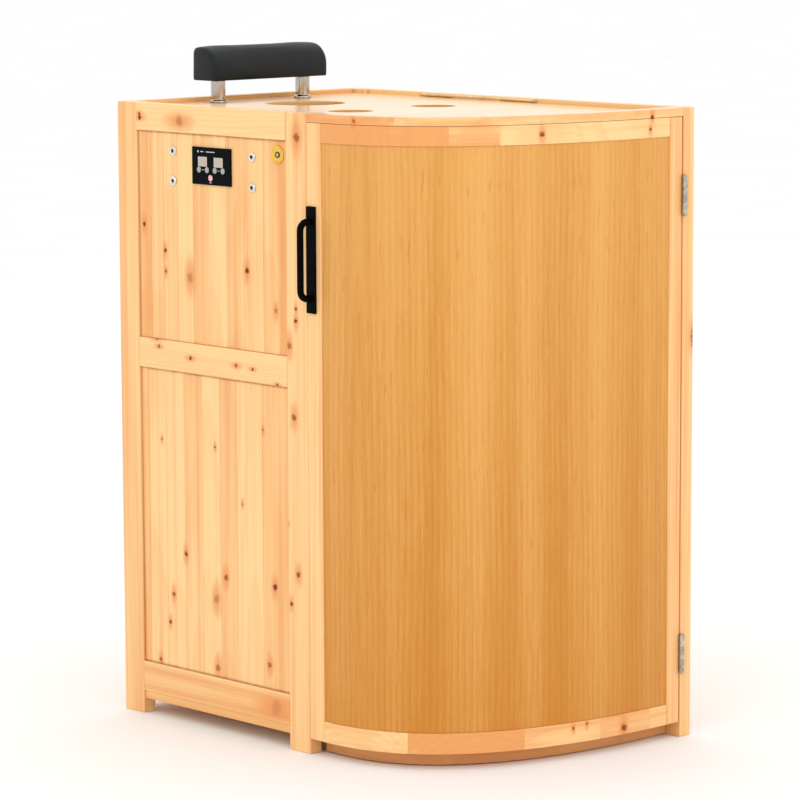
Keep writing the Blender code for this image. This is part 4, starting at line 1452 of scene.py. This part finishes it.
# ---- headrest -----------------------------------------------------------------------------
@dataclass
class Headrest:
    """The padded headrest on its two chromed posts."""

    finishes: Finishes
    shoulder: float = 0.036
    slack: float = 0.0010
    cap: float = 0.0020
    voxel: float = 0.0034
    rounding: float = 0.0065
    stretch: float = 0.0035
    frames: int = 20

    def build(self) -> list[bpy.types.Object]:
        """Makes the posts and the pad.

        Returns:
            The pieces.
        """
        pieces = []
        for side in ("left", "right"):
            node = f"headrest_post_{side}"
            low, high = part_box(node)
            tall = high.z - low.z
            profile = [(0, 0), (0.0144, 0), (0.0150, 0.0006), (0.0150, 0.0028), (0.0146, 0.0036), (0.0136, 0.0044),
                       (0.0127, 0.0052), (0.0125, 0.0062), (0.0125, tall - 0.002), (0.0120, tall), (0, tall)]
            place = ((low.x + high.x) / 2, (low.y + high.y) / 2, low.z)
            piece = Bench.turned(f"chromed_post_{side}", profile, place, steps=64)
            pieces.append(Bench.fit(piece, "cabinet", "chrome", self.finishes.chrome, node))
        pad = self.stuffed_form()
        self.inflate(pad)
        Bench.modify(pad, "SUBSURF", levels=1, render_levels=1)
        Bench.smooth(pad, 60.0)
        pieces.append(Bench.fit(pad, "cabinet", "leatherette", self.finishes.leather, "headrest_pad"))
        return pieces

    def stuffed_form(self) -> bpy.types.Object:
        """The foam core under its cover: an arched section with rounded ends."""
        low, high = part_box("headrest_pad")
        low, high = low + Vector((self.slack,) * 3), high - Vector((self.slack,) * 3)
        low.x, high.x = low.x - self.stretch, high.x + self.stretch
        base, foot = low.z - self.slack, low.z - 2 * self.rounding
        rise = high.z - self.shoulder
        outline = [(low.y, foot), (low.y, rise)]
        for step in range(1, 13):
            turn = math.pi / 2 * step / 12
            outline.append((low.y + self.shoulder * (1 - math.cos(turn)), rise + self.shoulder * math.sin(turn)))
        back = 0.010
        for step in range(0, 5):
            turn = math.pi / 2 * step / 4
            outline.append((high.y - back + back * math.sin(turn), high.z - back + back * math.cos(turn)))
        outline.append((high.y, foot))
        piece = Bench.slab("headrest_cushion", outline, low.x, high.x, along=Axis.X)
        Bench.modify(piece, "BEVEL", width=self.rounding, segments=4, limit_method="ANGLE",
                     angle_limit=math.radians(50))
        Bench.edit(piece)
        bpy.ops.mesh.bisect(plane_co=(0, 0, base), plane_no=(0, 0, 1), use_fill=True, clear_inner=True)
        bpy.ops.object.mode_set(mode="OBJECT")
        Bench.tidy(piece)
        Bench.modify(piece, "REMESH", mode="VOXEL", voxel_size=self.voxel, use_smooth_shade=True)
        return Bench.tidy(piece)

    def inflate(self, pad: bpy.types.Object) -> None:
        """Fills the cover with a short cloth simulation and keeps every point near its start.

        Args:
            pad: The remeshed cover.
        """
        start = [corner.co.copy() for corner in pad.data.vertices]
        low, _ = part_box("headrest_pad")
        pins = pad.vertex_groups.new(name="base")
        pins.add([number for number, place in enumerate(start) if place.z < low.z + 0.004], 1.0, "REPLACE")
        Bench.take(pad)
        cloth = pad.modifiers.new("cloth", "CLOTH")
        cloth.settings.quality = 6
        cloth.settings.use_pressure = True
        cloth.settings.uniform_pressure_force = 4.0
        cloth.settings.effector_weights.gravity = 0.0
        cloth.settings.vertex_group_mass = "base"
        cloth.point_cache.frame_start, cloth.point_cache.frame_end = 1, self.frames
        scene = bpy.context.scene
        for number in range(1, self.frames + 1):
            scene.frame_set(number)
        Bench.take(pad)
        bpy.ops.object.modifier_apply(modifier=cloth.name)
        scene.frame_set(1)
        for corner, place in zip(pad.data.vertices, start):
            step = corner.co - place
            if step.length > self.cap:
                corner.co = place + step.normalized() * self.cap
        pad.data.update()
        LOG.info("headrest filled")


# ---- inside -------------------------------------------------------------------------------
@dataclass
class Inside:
    """The steam unit, catch and inlet, which keep their shape and take a finish."""

    finishes: Finishes

    def dress(self) -> None:
        """Gives each inside node its finish."""
        steel = ("steam_tank", "tank_lid", "heating_element")
        chrome = ("steam_pipe", "steam_nozzle")
        dark = ("door_catch", "power_inlet", "filler_cap")
        for names, finish in ((steel, self.finishes.steel), (chrome, self.finishes.chrome),
                              (dark, self.finishes.dark)):
            for name in names:
                dress(name, finish)


# ---- studio -------------------------------------------------------------------------------
@dataclass
class Studio:
    """The pale floor, the soft lights and the camera."""

    place: Point = (-4.2552, -4.5316, 1.4302)
    azimuth: float = -43.24084
    elevation: float = 8.02051
    roll: float = -0.21785
    lens: float = 168.29
    world: float = 1.08

    def build(self) -> None:
        """Sets up the studio."""
        self.floor()
        self.lights()
        self.camera()

    def floor(self) -> None:
        """A wide pale floor under the object."""
        Bench.clear()
        bpy.ops.mesh.primitive_plane_add(size=240, location=(0, 0, 0))
        floor = bpy.context.object
        floor.name = "studio_floor"
        tree = Tree("studio_floor")
        cloud = tree.noise(tree.object_place(), 2.0, 2.0)
        colour = tree.blend(cloud, (0.94, 0.94, 0.94), (0.90, 0.90, 0.90))
        floor.data.materials.append(tree.surface(base_color=colour, roughness=cloud * 0.1 + 0.7,
                                                 specular_ior_level=0.1))

    def lights(self) -> None:
        """A white room and three large soft lamps."""
        world = bpy.data.worlds.new("studio_world")
        bpy.context.scene.world = world
        world.use_nodes = True
        background = world.node_tree.nodes["Background"]
        background.inputs[0].default_value = (1.0, 1.0, 1.0, 1.0)
        background.inputs[1].default_value = self.world
        for name, place, power, size in (("key", (-3.2, -2.2, 3.4), 26.0, 2.6), ("front", (0.6, -4.2, 2.2), 14.0, 2.4),
                                         ("top", (0.4, 0.6, 4.2), 12.0, 3.0)):
            lamp = bpy.data.lights.new(name, "AREA")
            lamp.energy, lamp.size, lamp.color = power, size, (1.0, 0.985, 0.96)
            holder = bpy.data.objects.new(name, lamp)
            bpy.context.scene.collection.objects.link(holder)
            holder.location = place
            holder.rotation_mode = "QUATERNION"
            holder.rotation_quaternion = (Vector((0, 0, 0.55)) - Vector(place)).to_track_quat("-Z", "Y")

    def camera(self) -> None:
        """The camera, low and far off at the front left."""
        turn, rise, roll = (math.radians(value) for value in (self.azimuth, self.elevation, self.roll))
        back = Vector((math.sin(turn) * math.cos(rise), -math.cos(turn) * math.cos(rise), math.sin(rise)))
        right = Vector((0, 0, 1)).cross(back).normalized()
        up = back.cross(right)
        right, up = right * math.cos(roll) + up * math.sin(roll), up * math.cos(roll) - right * math.sin(roll)
        data = bpy.data.cameras.new("camera")
        data.lens, data.sensor_width, data.clip_end = self.lens, 36.0, 400.0
        holder = bpy.data.objects.new("camera", data)
        bpy.context.scene.collection.objects.link(holder)
        holder.matrix_world = Matrix.Translation(self.place) @ Matrix((right, up, back)).transposed().to_4x4()
        bpy.context.scene.camera = holder
        bpy.context.scene.view_settings.view_transform = "Standard"


def main() -> None:
    """Builds every sub-assembly in order."""
    logging.basicConfig(level=logging.INFO, format="%(name)s: %(message)s")
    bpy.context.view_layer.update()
    finishes, bow = Finishes(), BowLine()
    Skeleton(finishes).dress()
    Inside(finishes).dress()
    made = [*Walls(finishes).build(), *Top(finishes, bow).build(), *Door(finishes, bow).build(),
            *Hinges(finishes).build(), *Handle(finishes).build(), *Controls(finishes).build(),
            *Headrest(finishes).build()]
    Studio().build()
    Bench.clear()
    LOG.info("%d pieces made", len(made))


if __name__ == "__main__":
    main()
